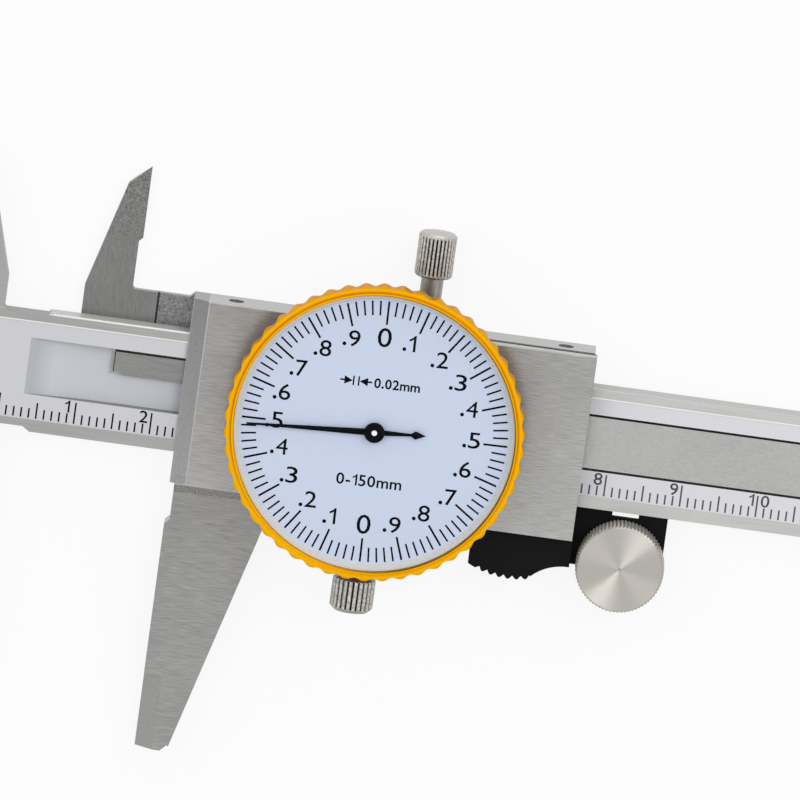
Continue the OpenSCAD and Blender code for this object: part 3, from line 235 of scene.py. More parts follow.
def bar(name, low, high, soft):
    """A slim bar between two corners with its upper edges eased."""
    deselect()
    low, high = Vector(low), Vector(high)
    bpy.ops.mesh.primitive_cube_add(size=1, location=(low + high) / 2)
    piece = bpy.context.object
    piece.name = piece.data.name = name
    piece.scale = high - low
    bpy.ops.object.transform_apply(location=True, rotation=True, scale=True)
    bpy.ops.object.mode_set(mode="EDIT")
    bpy.ops.mesh.select_mode(type="EDGE")
    bpy.ops.mesh.select_all(action="DESELECT")
    bpy.ops.object.mode_set(mode="OBJECT")
    corners = piece.data.vertices
    top = max(v.co.z for v in corners)
    for edge in piece.data.edges:
        edge.select = all(abs(corners[i].co.z - top) < 1e-9 for i in edge.vertices)
    bpy.ops.object.mode_set(mode="EDIT")
    bpy.ops.mesh.bevel(offset=soft, segments=1, affect="EDGES")
    bpy.ops.object.mode_set(mode="OBJECT")
    return piece


def draw_out(way):
    """Draws the selected faces out along one direction and leaves edit mode."""
    bpy.ops.mesh.extrude_region_move(TRANSFORM_OT_translate={"value": way})
    bpy.ops.mesh.select_all(action="SELECT")
    bpy.ops.mesh.normals_make_consistent(inside=False)
    bpy.ops.object.mode_set(mode="OBJECT")


def slab(name, corners, way):
    """A closed outline of points in space, drawn out along one direction."""
    deselect()
    bpy.ops.mesh.primitive_circle_add(vertices=len(corners), radius=MM, fill_type="NGON")
    piece = bpy.context.object
    piece.name = piece.data.name = name
    for vertex, corner in zip(piece.data.vertices, corners):
        vertex.co = corner
    bpy.ops.object.transform_apply(location=True, rotation=True, scale=True)
    bpy.ops.object.mode_set(mode="EDIT")
    bpy.ops.mesh.select_all(action="SELECT")
    draw_out(way)
    return piece


def inked(corners):
    return slab("figure", [(x, y, 0) for x, y in corners], (0, 0, INK_RISE))


def letter_mesh(letter, height, stretch, weight, wide):
    """One inked letter that stands on the origin, with its left edge there. Weight thickens its
    strokes, and wide sets the width of a letter of height 1."""
    if letter == "1":
        return inked([(ONE_STRETCH * x * height, y * height) for x, y in FLAGGED_ONE])
    if letter == ".":
        r = height * DOT_RADIUS
        turns = [i * 2 * math.pi / DOT_SIDES for i in range(DOT_SIDES)]
        return inked([(r + r * math.cos(a), r + r * math.sin(a)) for a in turns])
    deselect()
    bpy.ops.object.text_add(location=(0, 0, 0))
    piece = bpy.context.object
    piece.data.body = letter
    piece.data.size = 1
    piece.data.offset = weight
    piece.data.resolution_u = 3
    bpy.ops.object.convert(target="MESH")
    piece = bpy.context.object
    left = min(v.co.x for v in piece.data.vertices)
    right = max(v.co.x for v in piece.data.vertices)
    scale = height / (FONT_HEIGHT + 2 * weight)
    across = wide * height / (right - left) if wide else scale * stretch
    to_origin = Matrix.Translation((-left, weight, 0))
    piece.data.transform(Matrix.Diagonal((across, scale, scale, 1)) @ to_origin)
    bpy.ops.object.mode_set(mode="EDIT")
    bpy.ops.mesh.select_all(action="SELECT")
    bpy.ops.mesh.remove_doubles(threshold=1e-7)
    bpy.ops.mesh.dissolve_limited(angle_limit=math.radians(1))
    draw_out((0, 0, INK_RISE))
    return piece


def lettering(words, height, side, place, stretch=1.0, weight=0.0, gap=0.1, wide=0):
    """Inked letters in a row, with the row's left, middle or right on the place and its foot
    there."""
    made = []
    x = 0
    for letter in words:
        piece = letter_mesh(letter, height, stretch, weight, wide)
        made.append((piece, x))
        x += max(v.co.x for v in piece.data.vertices) + gap * height
    length = x - gap * height
    shift = {"LEFT": 0, "MIDDLE": -length / 2, "RIGHT": -length}[side]
    for piece, at in made:
        piece.data.transform(place @ Matrix.Translation((at + shift, 0, 0)))
    return [piece for piece, at in made]


def joined(name, pieces):
    deselect()
    for piece in pieces:
        piece.select_set(True)
    bpy.context.view_layer.objects.active = pieces[0]
    bpy.ops.object.join()
    whole = bpy.context.object
    whole.name = whole.data.name = name
    return whole


def repeated(source, places):
    """Copies of a piece, each with its own mesh moved to its place; the source is used up."""
    made = []
    for place in places:
        copy = source.copy()
        copy.data = source.data.copy()
        copy.data.transform(place)
        bpy.context.collection.objects.link(copy)
        made.append(copy)
    bpy.data.objects.remove(source)
    return made


def fitted(piece, finish, body):
    piece.data.materials.clear()
    piece.data.materials.append(finish)
    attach(piece, body)


def feed(tree, node, inputs):
    """Links the inputs that are given a socket and sets the others."""
    for key, value in inputs.items():
        if isinstance(value, bpy.types.NodeSocket):
            tree.links.new(value, node.inputs[key])
        else:
            node.inputs[key].default_value = value


def add(tree, kind, inputs=None, **settings):
    """Adds a node with its own settings and its inputs."""
    made = tree.nodes.new(kind)
    for key, value in settings.items():
        setattr(made, key, value)
    feed(tree, made, inputs or {})
    return made


def blank(name):
    """A material with its tree, its surface shader and its object coordinates, whole and split."""
    finish = bpy.data.materials.new(name)
    finish.use_nodes = True
    tree = finish.node_tree
    place = add(tree, "ShaderNodeTexCoord").outputs["Object"]
    where = add(tree, "ShaderNodeSeparateXYZ", {0: place}).outputs
    return finish, tree, tree.nodes["Principled BSDF"], place, where


def off_axis(tree, place, centre, across):
    """Distance from an axis through the centre; across is 1 along the two axes that count."""
    off = add(tree, "ShaderNodeVectorMath", {0: place, 1: centre}, operation="SUBTRACT")
    flat = add(tree, "ShaderNodeVectorMath", {0: off.outputs["Vector"], 1: across},
               operation="MULTIPLY")
    return add(tree, "ShaderNodeVectorMath", {0: flat.outputs["Vector"]},
               operation="LENGTH").outputs["Value"]


def toned(colour, factor):
    return tuple(min(1, c * factor) for c in colour)


def spread(tree, pattern, colour, low, high):
    """A colour that runs between two tones of itself by a pattern's value."""
    ramp = add(tree, "ShaderNodeValToRGB", {"Fac": pattern})
    for stop, position, factor in zip(ramp.color_ramp.elements, (0.25, 0.75), (low, high)):
        stop.color = (*toned(colour, factor), 1)
        stop.position = position
    return ramp.outputs["Color"]


def swept(tree, tone, value, run):
    """A tone that changes with a value: run holds two values and the factor at each."""
    start, end, first, last = run
    factor = add(tree, "ShaderNodeMapRange", {"Value": value, "From Min": start, "From Max": end,
                                              "To Min": first, "To Max": last})
    return add(tree, "ShaderNodeMix", {0: 1.0, 6: tone, 7: factor.outputs["Result"]},
               data_type="RGBA", blend_type="MULTIPLY").outputs[2]


def all_of(tree, masks):
    """1 where every mask is 1."""
    whole = masks[0]
    for mask in masks[1:]:
        whole = add(tree, "ShaderNodeMath", {0: whole, 1: mask}, operation="MULTIPLY").outputs[0]
    return whole


def region(tree, where, limits):
    """1 inside a box given by limits along some of the axes."""
    sides = []
    for axis, edges in limits.items():
        for edge, test in zip(edges, ("GREATER_THAN", "LESS_THAN")):
            if edge is not None:
                side = add(tree, "ShaderNodeMath", {0: where[axis], 1: edge}, operation=test)
                sides.append(side.outputs[0])
    return all_of(tree, sides)


def marked(tree, where, tone, marks):
    """A tone with others laid over it in turn, each in a box of limits or by a mask."""
    for limits, over in marks:
        mask = region(tree, where, limits) if isinstance(limits, dict) else limits
        over = over if isinstance(over, bpy.types.NodeSocket) else (*over, 1)
        tone = add(tree, "ShaderNodeMix", {0: mask, 6: tone, 7: over},
                   data_type="RGBA").outputs[2]
    return tone


def streaks(tree, place, along, across, upright=False):
    """Belt marks: long thin noise along X, or along Y where upright, with a slow cloud over it."""
    # Real belt marks are far finer than a pixel of the picture, so they are drawn wide enough to
    # show.
    stretch = [1 / across] * 3
    stretch[1 if upright else 0] = 1 / along
    run = add(tree, "ShaderNodeMapping", {"Vector": place, "Scale": stretch})
    fine = add(tree, "ShaderNodeTexNoise", {"Vector": run.outputs["Vector"], "Scale": 1.0,
                                            "Detail": 4.0})
    cloud = add(tree, "ShaderNodeTexNoise", {"Vector": place, "Scale": 1 / CLOUD_GRAIN,
                                             "Detail": 2.0})
    return add(tree, "ShaderNodeMix", {0: CLOUD_SHARE, 2: fine.outputs["Fac"],
                                       3: cloud.outputs["Fac"]}).outputs[0]


def brushed_steel(name, colour, along, across, rough, depth, upright=False, marks=(), dull=None,
                  sweep=None, metal=1.0):
    """Stainless steel drawn over an abrasive belt: fine short streaks along the belt under a soft
    grey glow. Marks are places of another tone, dull is a place that scatters the light, and
    sweep is an axis and a run of tone along it."""
    finish, tree, shader, place, where = blank(name)
    streak = streaks(tree, place, along, across, upright)
    tone = spread(tree, streak, colour, 1 - depth, 1 + depth)
    if sweep:
        axis, run = sweep
        tone = swept(tree, tone, where[axis], run)
    gloss = add(tree, "ShaderNodeMapRange", {"Value": streak, "To Min": rough - 0.06,
                                             "To Max": rough + 0.1})
    bump = add(tree, "ShaderNodeBump", {"Height": streak, "Strength": 0.06,
                                        "Distance": 0.01 * MM})
    feed(tree, shader, {
        "Base Color": marked(tree, where, tone, marks),
        "Metallic": metal,
        "Roughness": gloss.outputs["Result"],
        "Normal": bump.outputs["Normal"],
    })
    if dull:
        share = add(tree, "ShaderNodeMix", {0: region(tree, where, dull), 2: metal, 3: DULL_METAL})
        feed(tree, shader, {"Metallic": share.outputs[0]})
    return finish


def slider_steel(name, colour, left, low, top, front, gap_shade):
    """Stainless slider: brushed along its length and lighter towards its foot by painted light,
    its inside jaw ground upright and darker, two places left rough from the mill beside the seam
    and over the outside jaw, painted shade in the seam, a top face lighter by painted light,
    painted highlights along its edges and on its reading bevel, and painted shade under the
    gasket."""
    finish, tree, shader, place, where = blank(name)
    seam = left - 4.79 * MM
    bevel = left + 2.15 * MM
    neck = (top - 5 * MM, None)
    foot = (low, None)
    face = (front, None)
    fall = (top, low)
    cool = (colour[0], colour[1], colour[2] * 1.04)
    grain = add(tree, "ShaderNodeTexNoise", {"Vector": place, "Scale": 1 / (0.22 * MM),
                                             "Detail": 4.0}).outputs["Fac"]
    belt = streaks(tree, place, 2.2 * MM, 0.085 * MM)
    stroke = streaks(tree, place, 1.2 * MM, 0.07 * MM, True)
    # Painted light: the body grows lighter from its top towards its foot.
    body = swept(tree, spread(tree, belt, colour, 0.66, 1.38), where["Y"], (*fall, 0.94, 1.27))
    blade = spread(tree, belt, colour, 0.58, 1.3)
    rough_neck = spread(tree, grain, cool, 0.2, 1.02)
    slope = spread(tree, grain, colour, 0.4, 1.6)
    edge = swept(tree, spread(tree, grain, cool, 0.86, 1.14), where["Y"], (*fall, 0.64, 0.98))
    # The inside jaw grows speckled towards its tip.
    climb = add(tree, "ShaderNodeMapRange", {"Value": where["Y"], "From Min": top + 2 * MM,
                                             "From Max": top + 12 * MM, "To Max": 0.75})
    jaw = marked(tree, where, spread(tree, stroke, colour, 0.43, 0.78),
                 ((climb.outputs["Result"], spread(tree, grain, colour, 0.08, 1.05)),))
    tone = marked(tree, where, body, (
        ({"X": (None, left)}, jaw),
        ({"Y": (None, low)}, blade),
        # The neck beside the seam, and painted shade in the seam as a dark line.
        ({"X": (seam, left), "Y": neck}, rough_neck),
        ({"X": (seam, seam + 0.27 * MM), "Y": neck}, toned(colour, 0.06)),
        # The top face, lighter by painted light.
        ({"X": (left, None), "Y": (top - SKIN, None)}, toned(colour, 1.17)),
        # The slope over the outside jaw, and the reading bevel.
        ({"Y": (None, low), "Z": face}, slope),
        ({"X": (left, bevel), "Y": foot}, edge),
        # Painted highlights along the lower edge, the left edge and the bevel's ridge.
        ({"X": (left, None), "Y": (low, low + 0.13 * MM), "Z": face}, toned(colour, 1.5)),
        ({"X": (left, left + 0.1 * MM), "Y": foot, "Z": face}, toned(colour, 1.05)),
        ({"X": (bevel - 0.07 * MM, bevel + 0.05 * MM), "Y": foot}, toned(colour, 1.42)),
        # Painted shade in the gap under the gasket.
        (gap_shade, toned(colour, 0.05)),
    ))
    gloss = add(tree, "ShaderNodeMapRange", {"Value": grain, "To Min": 0.18, "To Max": 0.28})
    bump = add(tree, "ShaderNodeBump", {"Height": belt, "Strength": 0.15, "Distance": 0.01 * MM})
    feed(tree, shader, {
        "Base Color": tone,
        "Metallic": 0.55,
        "Roughness": gloss.outputs["Result"],
        "Normal": bump.outputs["Normal"],
    })
    return finish


def knurled_nickel(name, colour, low, high, ridge, knurl):
    """Nickel plate over a straight knurl along Y: ridges brightened by painted highlights with
    painted shade between them, plain on the shank and the rims, and bright on the upper end. Knurl
    holds the two ends of the ridges."""
    finish, tree, shader, place, where = blank(name)
    radius = (high.x - low.x) / 2
    away = off_axis(tree, place, (low + high) / 2, (1, 0, 1))
    cloud = add(tree, "ShaderNodeTexNoise", {"Vector": place, "Scale": 1 / (0.35 * MM),
                                             "Detail": 4.0}).outputs["Fac"]
    climb = add(tree, "ShaderNodeMapRange", {"Value": away, "From Min": radius - ridge,
                                             "From Max": radius})
    # Painted shade in the grooves and painted highlights on the ridges.
    ridges = swept(tree, spread(tree, climb.outputs["Result"], colour, 0.12, 1.55), cloud,
                   (0.3, 0.7, 0.6, 1.3))
    outer = add(tree, "ShaderNodeMath", {0: away, 1: radius - 1.5 * ridge},
                operation="GREATER_THAN").outputs[0]
    tone = marked(tree, where, spread(tree, cloud, colour, 0.8, 1.2), (
        (all_of(tree, [outer, region(tree, where, {"Y": knurl})]), ridges),
        ({"Y": (high.y - 0.48 * MM, None)}, spread(tree, cloud, colour, 1.45, 1.95)),
    ))
    feed(tree, shader, {"Base Color": tone, "Metallic": 1.0, "Roughness": 0.34})
    return finish


def turned_metal(name, colour, centre, pitch, rough, metal=1.0, fan=0.0, bare=None, shade=None,
                 rim=0):
    """Metal faced on a lathe: fine rings about the axis, which fan the light out from the centre
    where fan is set. Pitch is the rings' run per radian. Below shade it is bare, and inside rim it
    is darker on the right, where the bore turns from the light."""
    # Real facing rings are far finer than a pixel, so they are drawn wide enough to show.
    finish, tree, shader, place, where = blank(name)
    centred = add(tree, "ShaderNodeMapping", {"Vector": place,
                                              "Location": (-centre[0], -centre[1], 0)})
    rings = add(tree, "ShaderNodeTexWave",
                {"Vector": centred.outputs["Vector"], "Scale": 1 / (WAVE_RATE * pitch),
                 "Distortion": 0.6, "Detail": 2.0},
                wave_type="RINGS", rings_direction="Z").outputs["Fac"]
    tone = spread(tree, rings, colour, 0.9, 1.09)
    if shade:
        away = off_axis(tree, place, (centre[0], centre[1], 0), (1, 1, 0))
        bore = add(tree, "ShaderNodeMath", {0: away, 1: rim}, operation="LESS_THAN").outputs[0]
        right = add(tree, "ShaderNodeMapRange", {"Value": where["X"],
                                                 "From Min": centre[0] - BORE_FADE,
                                                 "From Max": centre[0] + BORE_FADE})
        tone = marked(tree, where, tone, (
            ({"Z": (None, shade)}, bare),
            (all_of(tree, [bore, right.outputs["Result"]]), toned(colour, 0.3)),
        ))
    bump = add(tree, "ShaderNodeBump", {"Height": rings, "Strength": 0.08,
                                        "Distance": 0.005 * MM})
    feed(tree, shader, {
        "Base Color": tone,
        "Metallic": metal,
        "Roughness": rough,
        "Normal": bump.outputs["Normal"],
        "Specular Tint": (*colour, 1),
    })
    if fan:
        tangent = add(tree, "ShaderNodeTangent", direction_type="RADIAL", axis="Z")
        feed(tree, shader, {"Anisotropic": fan, "Anisotropic Rotation": 0.25,
                            "Tangent": tangent.outputs["Tangent"]})
    return finish


def mottled(name, colour, grain, rough, depth, metal=0.0, bump=0.0, shine=0.5, sweep=None):
    """A surface with a fine even grain: moulded, painted, plated or inked. Sweep is an axis and a
    run of tone along it."""
    # The real grain is finer than a pixel, so it is drawn coarse enough to show.
    finish, tree, shader, place, where = blank(name)
    speck = add(tree, "ShaderNodeTexNoise", {"Vector": place, "Scale": 1 / grain,
                                             "Detail": 3.0}).outputs["Fac"]
    tone = spread(tree, speck, colour, 1 - depth, 1 + depth)
    if sweep:
        axis, run = sweep
        tone = swept(tree, tone, where[axis], run)
    gloss = add(tree, "ShaderNodeMapRange", {"Value": speck, "To Min": rough - 0.05,
                                             "To Max": rough + 0.05})
    feed(tree, shader, {
        "Base Color": tone,
        "Metallic": metal,
        "Roughness": gloss.outputs["Result"],
        "Specular IOR Level": shine,
    })
    if bump:
        leather = add(tree, "ShaderNodeBump", {"Height": speck, "Strength": 0.4, "Distance": bump})
        feed(tree, shader, {"Normal": leather.outputs["Normal"]})
    return finish


def shaded_plating(name, colour, start, end):
    """Satin plating in the groove: grey by painted shade where its run-out begins to fall, and
    pale further on.
    """
    finish, tree, shader, _, where = blank(name)
    fall = add(tree, "ShaderNodeMapRange", {"Value": where["X"], "From Min": start,
                                            "From Max": end})
    feed(tree, shader, {
        "Base Color": spread(tree, fall.outputs["Result"], colour, 0.72, 0.94),
        "Roughness": 0.45,
    })
    return finish


def clear_crystal(name, colour):
    """Acrylic dial window, cast clear and polished: the dial shows through under a faint cool
    reflection."""
    finish, tree, shader, place, _ = blank(name)
    haze = add(tree, "ShaderNodeTexNoise", {"Vector": place, "Scale": 1 / (12 * MM),
                                            "Detail": 1.0})
    gloss = add(tree, "ShaderNodeMapRange", {"Value": haze.outputs["Fac"], "To Min": 0.02,
                                             "To Max": 0.06})
    feed(tree, shader, {
        "Base Color": (*colour, 1),
        "Roughness": gloss.outputs["Result"],
        "IOR": 1.49,
        "Alpha": 0.006,
    })
    return finish


def steel_makers(look, scale):
    """Makers of the brushed and ground steels, with the places where each has another tone."""
    beam_top = scale.low_edge + BEAM_HEIGHT
    beam_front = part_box("beam")[1].z
    recess_top = scale.low_edge + scale.recess_high
    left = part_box("back_plate")[0].x - SLIDER_LEAD
    rod_low, rod_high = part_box("depth_rod")
    rack_low, rack_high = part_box("rack")
    cover_low, cover_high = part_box("front_cover")
    # Painted shade on the slider just under the cover's gasket.
    gap_shade = {"X": (cover_low.x, None), "Y": (cover_high.y - 0.06 * MM, None),
             "Z": (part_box("cover_gasket")[0].z - 0.6 * MM, None)}
    lid = {"Y": (beam_top - SKIN, beam_top + SKIN)}
    chamfer = {"Y": (beam_top - 0.2 * MM, beam_top - 0.001 * MM),
               "Z": (beam_front - 0.2 * MM, None)}
    recess_edge = {"X": (scale.recess_start, None), "Y": (recess_top, recess_top + 0.15 * MM),
                   "Z": (beam_front - 0.01 * MM, None)}
    highlit, plain = (HIGHLIGHT_START, PLAIN_START), (PLAIN_START, None)
    # Painted shadow along the rod's and the rack's edges, in the gaps beside them.
    dark = toned(look.beam_steel, 0.03)
    # Painted light on the beam: a lighter top face, and highlights on its chamfer and the recess's
    # edge.
    beam_marks = (
        (lid, toned(look.beam_steel, 1.6)),
        ({"X": plain, **lid}, toned(look.beam_steel, 1.3)),
        ({"X": highlit, **chamfer}, toned(look.beam_steel, 1.75)),
        ({"X": plain, **chamfer}, toned(look.beam_steel, 1.2)),
        (recess_edge, toned(look.beam_steel, 2.0)),
    )
    rod_marks = (({"Y": (rod_high.y - 0.09 * MM, None)}, dark),
                 ({"Y": (None, rod_low.y + 0.05 * MM)}, dark))
    rack_marks = (({"Y": (rack_high.y - 0.1 * MM, None)}, dark),
                  ({"X": (None, rack_low.x + 0.1 * MM)}, dark))
    # Painted light on the cover's top face.
    cover_marks = (({"Y": (cover_high.y - SKIN, None)}, toned(look.cover_steel, 1.27)),)
    return {
        # Grey, finely streaked along the beam, with a darker upright grain on its inside jaw.
        "slider steel, belt brushed": lambda n: slider_steel(
            n, look.steel, left - SKIN, scale.low_edge - SLIDER_DROP, beam_top + SLIDER_RISE,
            beam_front + SKIN, gap_shade),
        # The same brushing, with painted light: a paler top face, and lighter towards its lower
        # edge.
        "cover steel, belt brushed": lambda n: brushed_steel(
            n, look.cover_steel, along=2.2 * MM, across=0.08 * MM, rough=0.26, depth=0.36,
            marks=cover_marks, sweep=("Y", (beam_top, cover_low.y, 0.95, 1.16)), metal=0.55),
        # Smoother than the slider, with long faint grinding marks, painted highlights on its top
        # face
        #         # and edges, and painted light that grows towards its right end.
        "beam steel, surface ground": lambda n: brushed_steel(
            n, look.beam_steel, along=6 * MM, across=0.06 * MM, rough=0.4, depth=0.14,
            marks=beam_marks, dull=lid, sweep=("X", (10 * MM, 90 * MM, 0.92, 1.3))),
        # Bright strip with a fine short grain, with painted shadow black along both edges.
        "rod steel, drawn": lambda n: brushed_steel(
            n, toned(look.cover_steel, 1.12), along=0.5 * MM, across=0.09 * MM, rough=0.34,
            depth=0.16, marks=rod_marks),
        # Dark grey bar with painted shadow as a black line along its head and its end.
        "rack steel, milled": lambda n: brushed_steel(
            n, toned(look.beam_steel, 0.66), along=2 * MM, across=0.09 * MM, rough=0.36,
            depth=0.2, marks=rack_marks),
        # Bright teeth, marked across their run.
        "gear steel, hobbed": lambda n: brushed_steel(
            n, look.beam_steel, along=1 * MM, across=0.1 * MM, rough=0.3, depth=0.2,
            upright=True),
    }


def turned_makers(look):
    """Makers of the turned and knurled metals."""
    roller_mid = sum(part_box("thumb_roller"), Vector()) / 2
    dial_mid = sum(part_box("dial_plate"), Vector()) / 2
    crystal_low, crystal_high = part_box("crystal")
    lock_low, lock_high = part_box("lock_screw")
    clamp_low, clamp_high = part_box("bezel_clamp_screw")
    ridge = 0.26 * MM
    return {
        # Grey cup with fine rings from the lathe.
        "case alloy, turned": lambda n: turned_metal(
            n, look.steel, dial_mid, pitch=0.12 * MM, rough=0.35),
        # Deep yellow-orange colour with a satin metal sheen.
        "bezel aluminium, anodised": lambda n: turned_metal(
            n, look.bezel, dial_mid, pitch=0.1 * MM, rough=0.34, metal=0.55, bare=look.bare,
            shade=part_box("dial_plate")[0].z - 0.3 * MM,
            rim=(crystal_high.x - crystal_low.x) / 2 + 0.17 * MM),
        # Pale turned face that fans the light out from its centre.
        "roller aluminium, faced": lambda n: turned_metal(
            n, look.roller, roller_mid, pitch=0.03 * MM, rough=0.34, fan=0.97),
        # Silver ridges over grooves darkened by painted shade.
        "lock screw brass, nickel plated": lambda n: knurled_nickel(
            n, look.nickel, lock_low, lock_high, ridge,
            (lock_high.y - 5.7 * MM, lock_high.y - 0.5 * MM)),
        # The same plate on the clamp's head.
        "clamp screw brass, nickel plated": lambda n: knurled_nickel(
            n, look.nickel, clamp_low, clamp_high, ridge,
            (clamp_low.y + 0.6 * MM, clamp_low.y + 4.6 * MM)),
    }


def plain_makers(look, scale):
    """Makers of the even surfaces: plain metal, plating, paint, ink, plastic and the window."""
    return {
        # White point in the middle of the hub.
        "arbor steel, burnished": lambda n: mottled(
            n, look.arbor, grain=0.3 * MM, rough=0.3, depth=0.04, metal=1.0),
        # Near-black heads with a dull metal shine.
        "screw steel, black oxide": lambda n: mottled(
            n, look.dark_steel, grain=0.3 * MM, rough=0.42, depth=0.15, metal=1.0),
        # Warm yellow metal, faintly uneven.
        "brass, machined": lambda n: mottled(
            n, look.brass, grain=0.4 * MM, rough=0.32, depth=0.1, metal=1.0),
        # Even pale blue with a soft shine.
        "dial lacquer, sprayed": lambda n: mottled(
            n, look.dial, grain=0.5 * MM, rough=0.5, depth=0.015),
        # Plain pale grey plastic.
        "dial ring ABS, moulded": lambda n: mottled(
            n, look.ring, grain=0.4 * MM, rough=0.45, depth=0.02),
        # Deep black without a highlight.
        "pointer enamel, baked": lambda n: mottled(
            n, look.ink, grain=0.3 * MM, rough=0.4, depth=0.2, shine=0.02),
        # Matt black with a fine leathery grain.
        "thumb rest nylon, moulded": lambda n: mottled(
            n, look.black, grain=0.16 * MM, rough=0.55, depth=0.3, bump=0.03 * MM, shine=0.1),
        # Black as painted shade in the gap between the slider and its cover.
        "gasket, painted shade black": lambda n: mottled(
            n, toned(look.black, 0.3), grain=0.16 * MM, rough=0.7, depth=0.2, shine=0.02),
        # Pale, even and faintly violet, without any mirror; painted light makes it
        #         # lighter towards the right.
        "scale recess, satin chromed": lambda n: mottled(
            n, look.plating, grain=0.35 * MM, rough=0.45, depth=0.015,
            sweep=("X", (0, 90 * MM, 0.985, 1.11))),
        # The same plating, with painted shade where the groove begins.
        "groove run-out, satin chromed": lambda n: shaded_plating(
            n, look.runout, scale.runout_start, scale.runout_start + 5 * MM),
        # Flat black, a little uneven.
        "dial ink, printed": lambda n: mottled(
            n, look.ink, grain=0.2 * MM, rough=0.6, depth=0.25, shine=0.02),
        # Black in the hollow marks, greyer towards the beam's right end by painted glare.
        "scale ink, etched": lambda n: mottled(
            n, look.ink, grain=0.2 * MM, rough=0.6, depth=0.25, shine=0.03,
            sweep=("X", (30 * MM, 80 * MM, 1.0, 45.0))),
        # Clear, with a faint cool gleam.
        "crystal acrylic, polished": lambda n: clear_crystal(n, look.crystal),
    }


def finishes():
    """All finishes, made once and then found by name."""
    look = bpy.context.scene.caliper_finish
    scale = bpy.context.scene.caliper_beam
    makers = {**steel_makers(look, scale), **turned_makers(look), **plain_makers(look, scale)}
    return {name: bpy.data.materials.get(name) or make(name) for name, make in makers.items()}


NODE_FINISH = {
    "slider steel, belt brushed": ("slider", "back_plate"),
    "cover steel, belt brushed": ("front_cover",),
    "beam steel, surface ground": ("beam", "end_stop"),
    "rod steel, drawn": ("depth_rod",),
    "rack steel, milled": ("rack",),
    "gear steel, hobbed": ("pinion_arbor", "backlash_spring"),
    "arbor steel, burnished": ("centre_arbor",),
    "screw steel, black oxide": ("rack_screws", "end_stop_screws", "gib_screws",
                                 "back_plate_screws", "depth_rod_screws", "cover_screws",
                                 "thumb_rest_screws", "case_screws", "bezel_retaining_ring",
                                 "bridge_screws", "roller_clip"),
    "case alloy, turned": ("dial_case",),
    "brass, machined": ("gib_strip", "clamp_plug", "arbor_bushes", "pillars", "bridge_plate",
                        "drive_gear", "backlash_gear"),
    "bezel aluminium, anodised": ("bezel",),
    "dial lacquer, sprayed": ("dial_plate",),
    "dial ring ABS, moulded": ("dial_ring",),
    "pointer enamel, baked": ("pointer", "pointer_hub"),
    "thumb rest nylon, moulded": ("thumb_rest",),
    "gasket, painted shade black": ("cover_gasket",),
    "lock screw brass, nickel plated": ("lock_screw",),
    "clamp screw brass, nickel plated": ("bezel_clamp_screw",),
    "roller aluminium, faced": ("thumb_roller",),
    "crystal acrylic, polished": ("crystal",),
}


class CALIPER_OT_finishes(bpy.types.Operator):
    """Gives each solid its finish"""
    bl_idname = "caliper.finishes"
    bl_label = "Finishes"

    def execute(self, context):
        made = finishes()
        for finish, nodes in NODE_FINISH.items():
            for name in nodes:
                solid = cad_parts[name]
                solid.data.materials.clear()
                solid.data.materials.append(made[finish])
        return {"FINISHED"}


class CALIPER_OT_scale_plating(bpy.types.Operator):
    """Lays the satin plating in the beam's recess, on the groove's run-out and along its floor"""
    bl_idname = "caliper.scale_plating"
    bl_label = "Scale plating"

    def execute(self, context):
        scale = context.scene.caliper_beam
        made = finishes()
        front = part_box("beam")[1].z
        floor = front - scale.recess_depth
        bed = front - scale.groove_depth
        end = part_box("end_stop")[1].x + PLATING_PAST_STOP
        foot, head = scale.low_edge + scale.recess_low, scale.low_edge + scale.recess_high
        low, high = scale.low_edge + scale.groove_low, scale.low_edge + scale.groove_high
        # The run-out is an arc that meets the groove's bed; start is where it leaves the recess.
        run = scale.runout_end - scale.runout_start
        radius = (run ** 2 + scale.groove_depth ** 2) / (2 * scale.groove_depth)
        drop = scale.groove_depth - scale.recess_depth
        reach = math.sqrt(2 * radius * drop - drop ** 2)
        start = scale.runout_end - reach
        outline = ((scale.recess_start, foot), (end, foot), (end, low), (start, low),
                   (start, high), (end, high), (end, head), (scale.recess_start, head))
        face = slab("recess_plating", [(x, y, floor) for x, y in outline], (0, 0, scale.plating))
        fitted(face, made["scale recess, satin chromed"], "beam")
        arc = []
        for i in range(ARC_STEPS + 1):
            back = reach * (1 - i / ARC_STEPS)
            lift = radius - math.sqrt(radius ** 2 - back ** 2)
            arc.append((scale.runout_end - back, bed + lift))
        skin = arc + [(x, z + scale.plating) for x, z in reversed(arc)]
        curve = slab("runout", [(x, low, z) for x, z in skin], (0, high - low, 0))
        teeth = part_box("rack")[0].y
        strip = bar("floor", (scale.runout_end, low, bed), (end, teeth, bed + scale.plating),
                    scale.plating / 3)
        fitted(joined("groove_plating", [curve, strip]), made["groove run-out, satin chromed"],
               "beam")
        return {"FINISHED"}


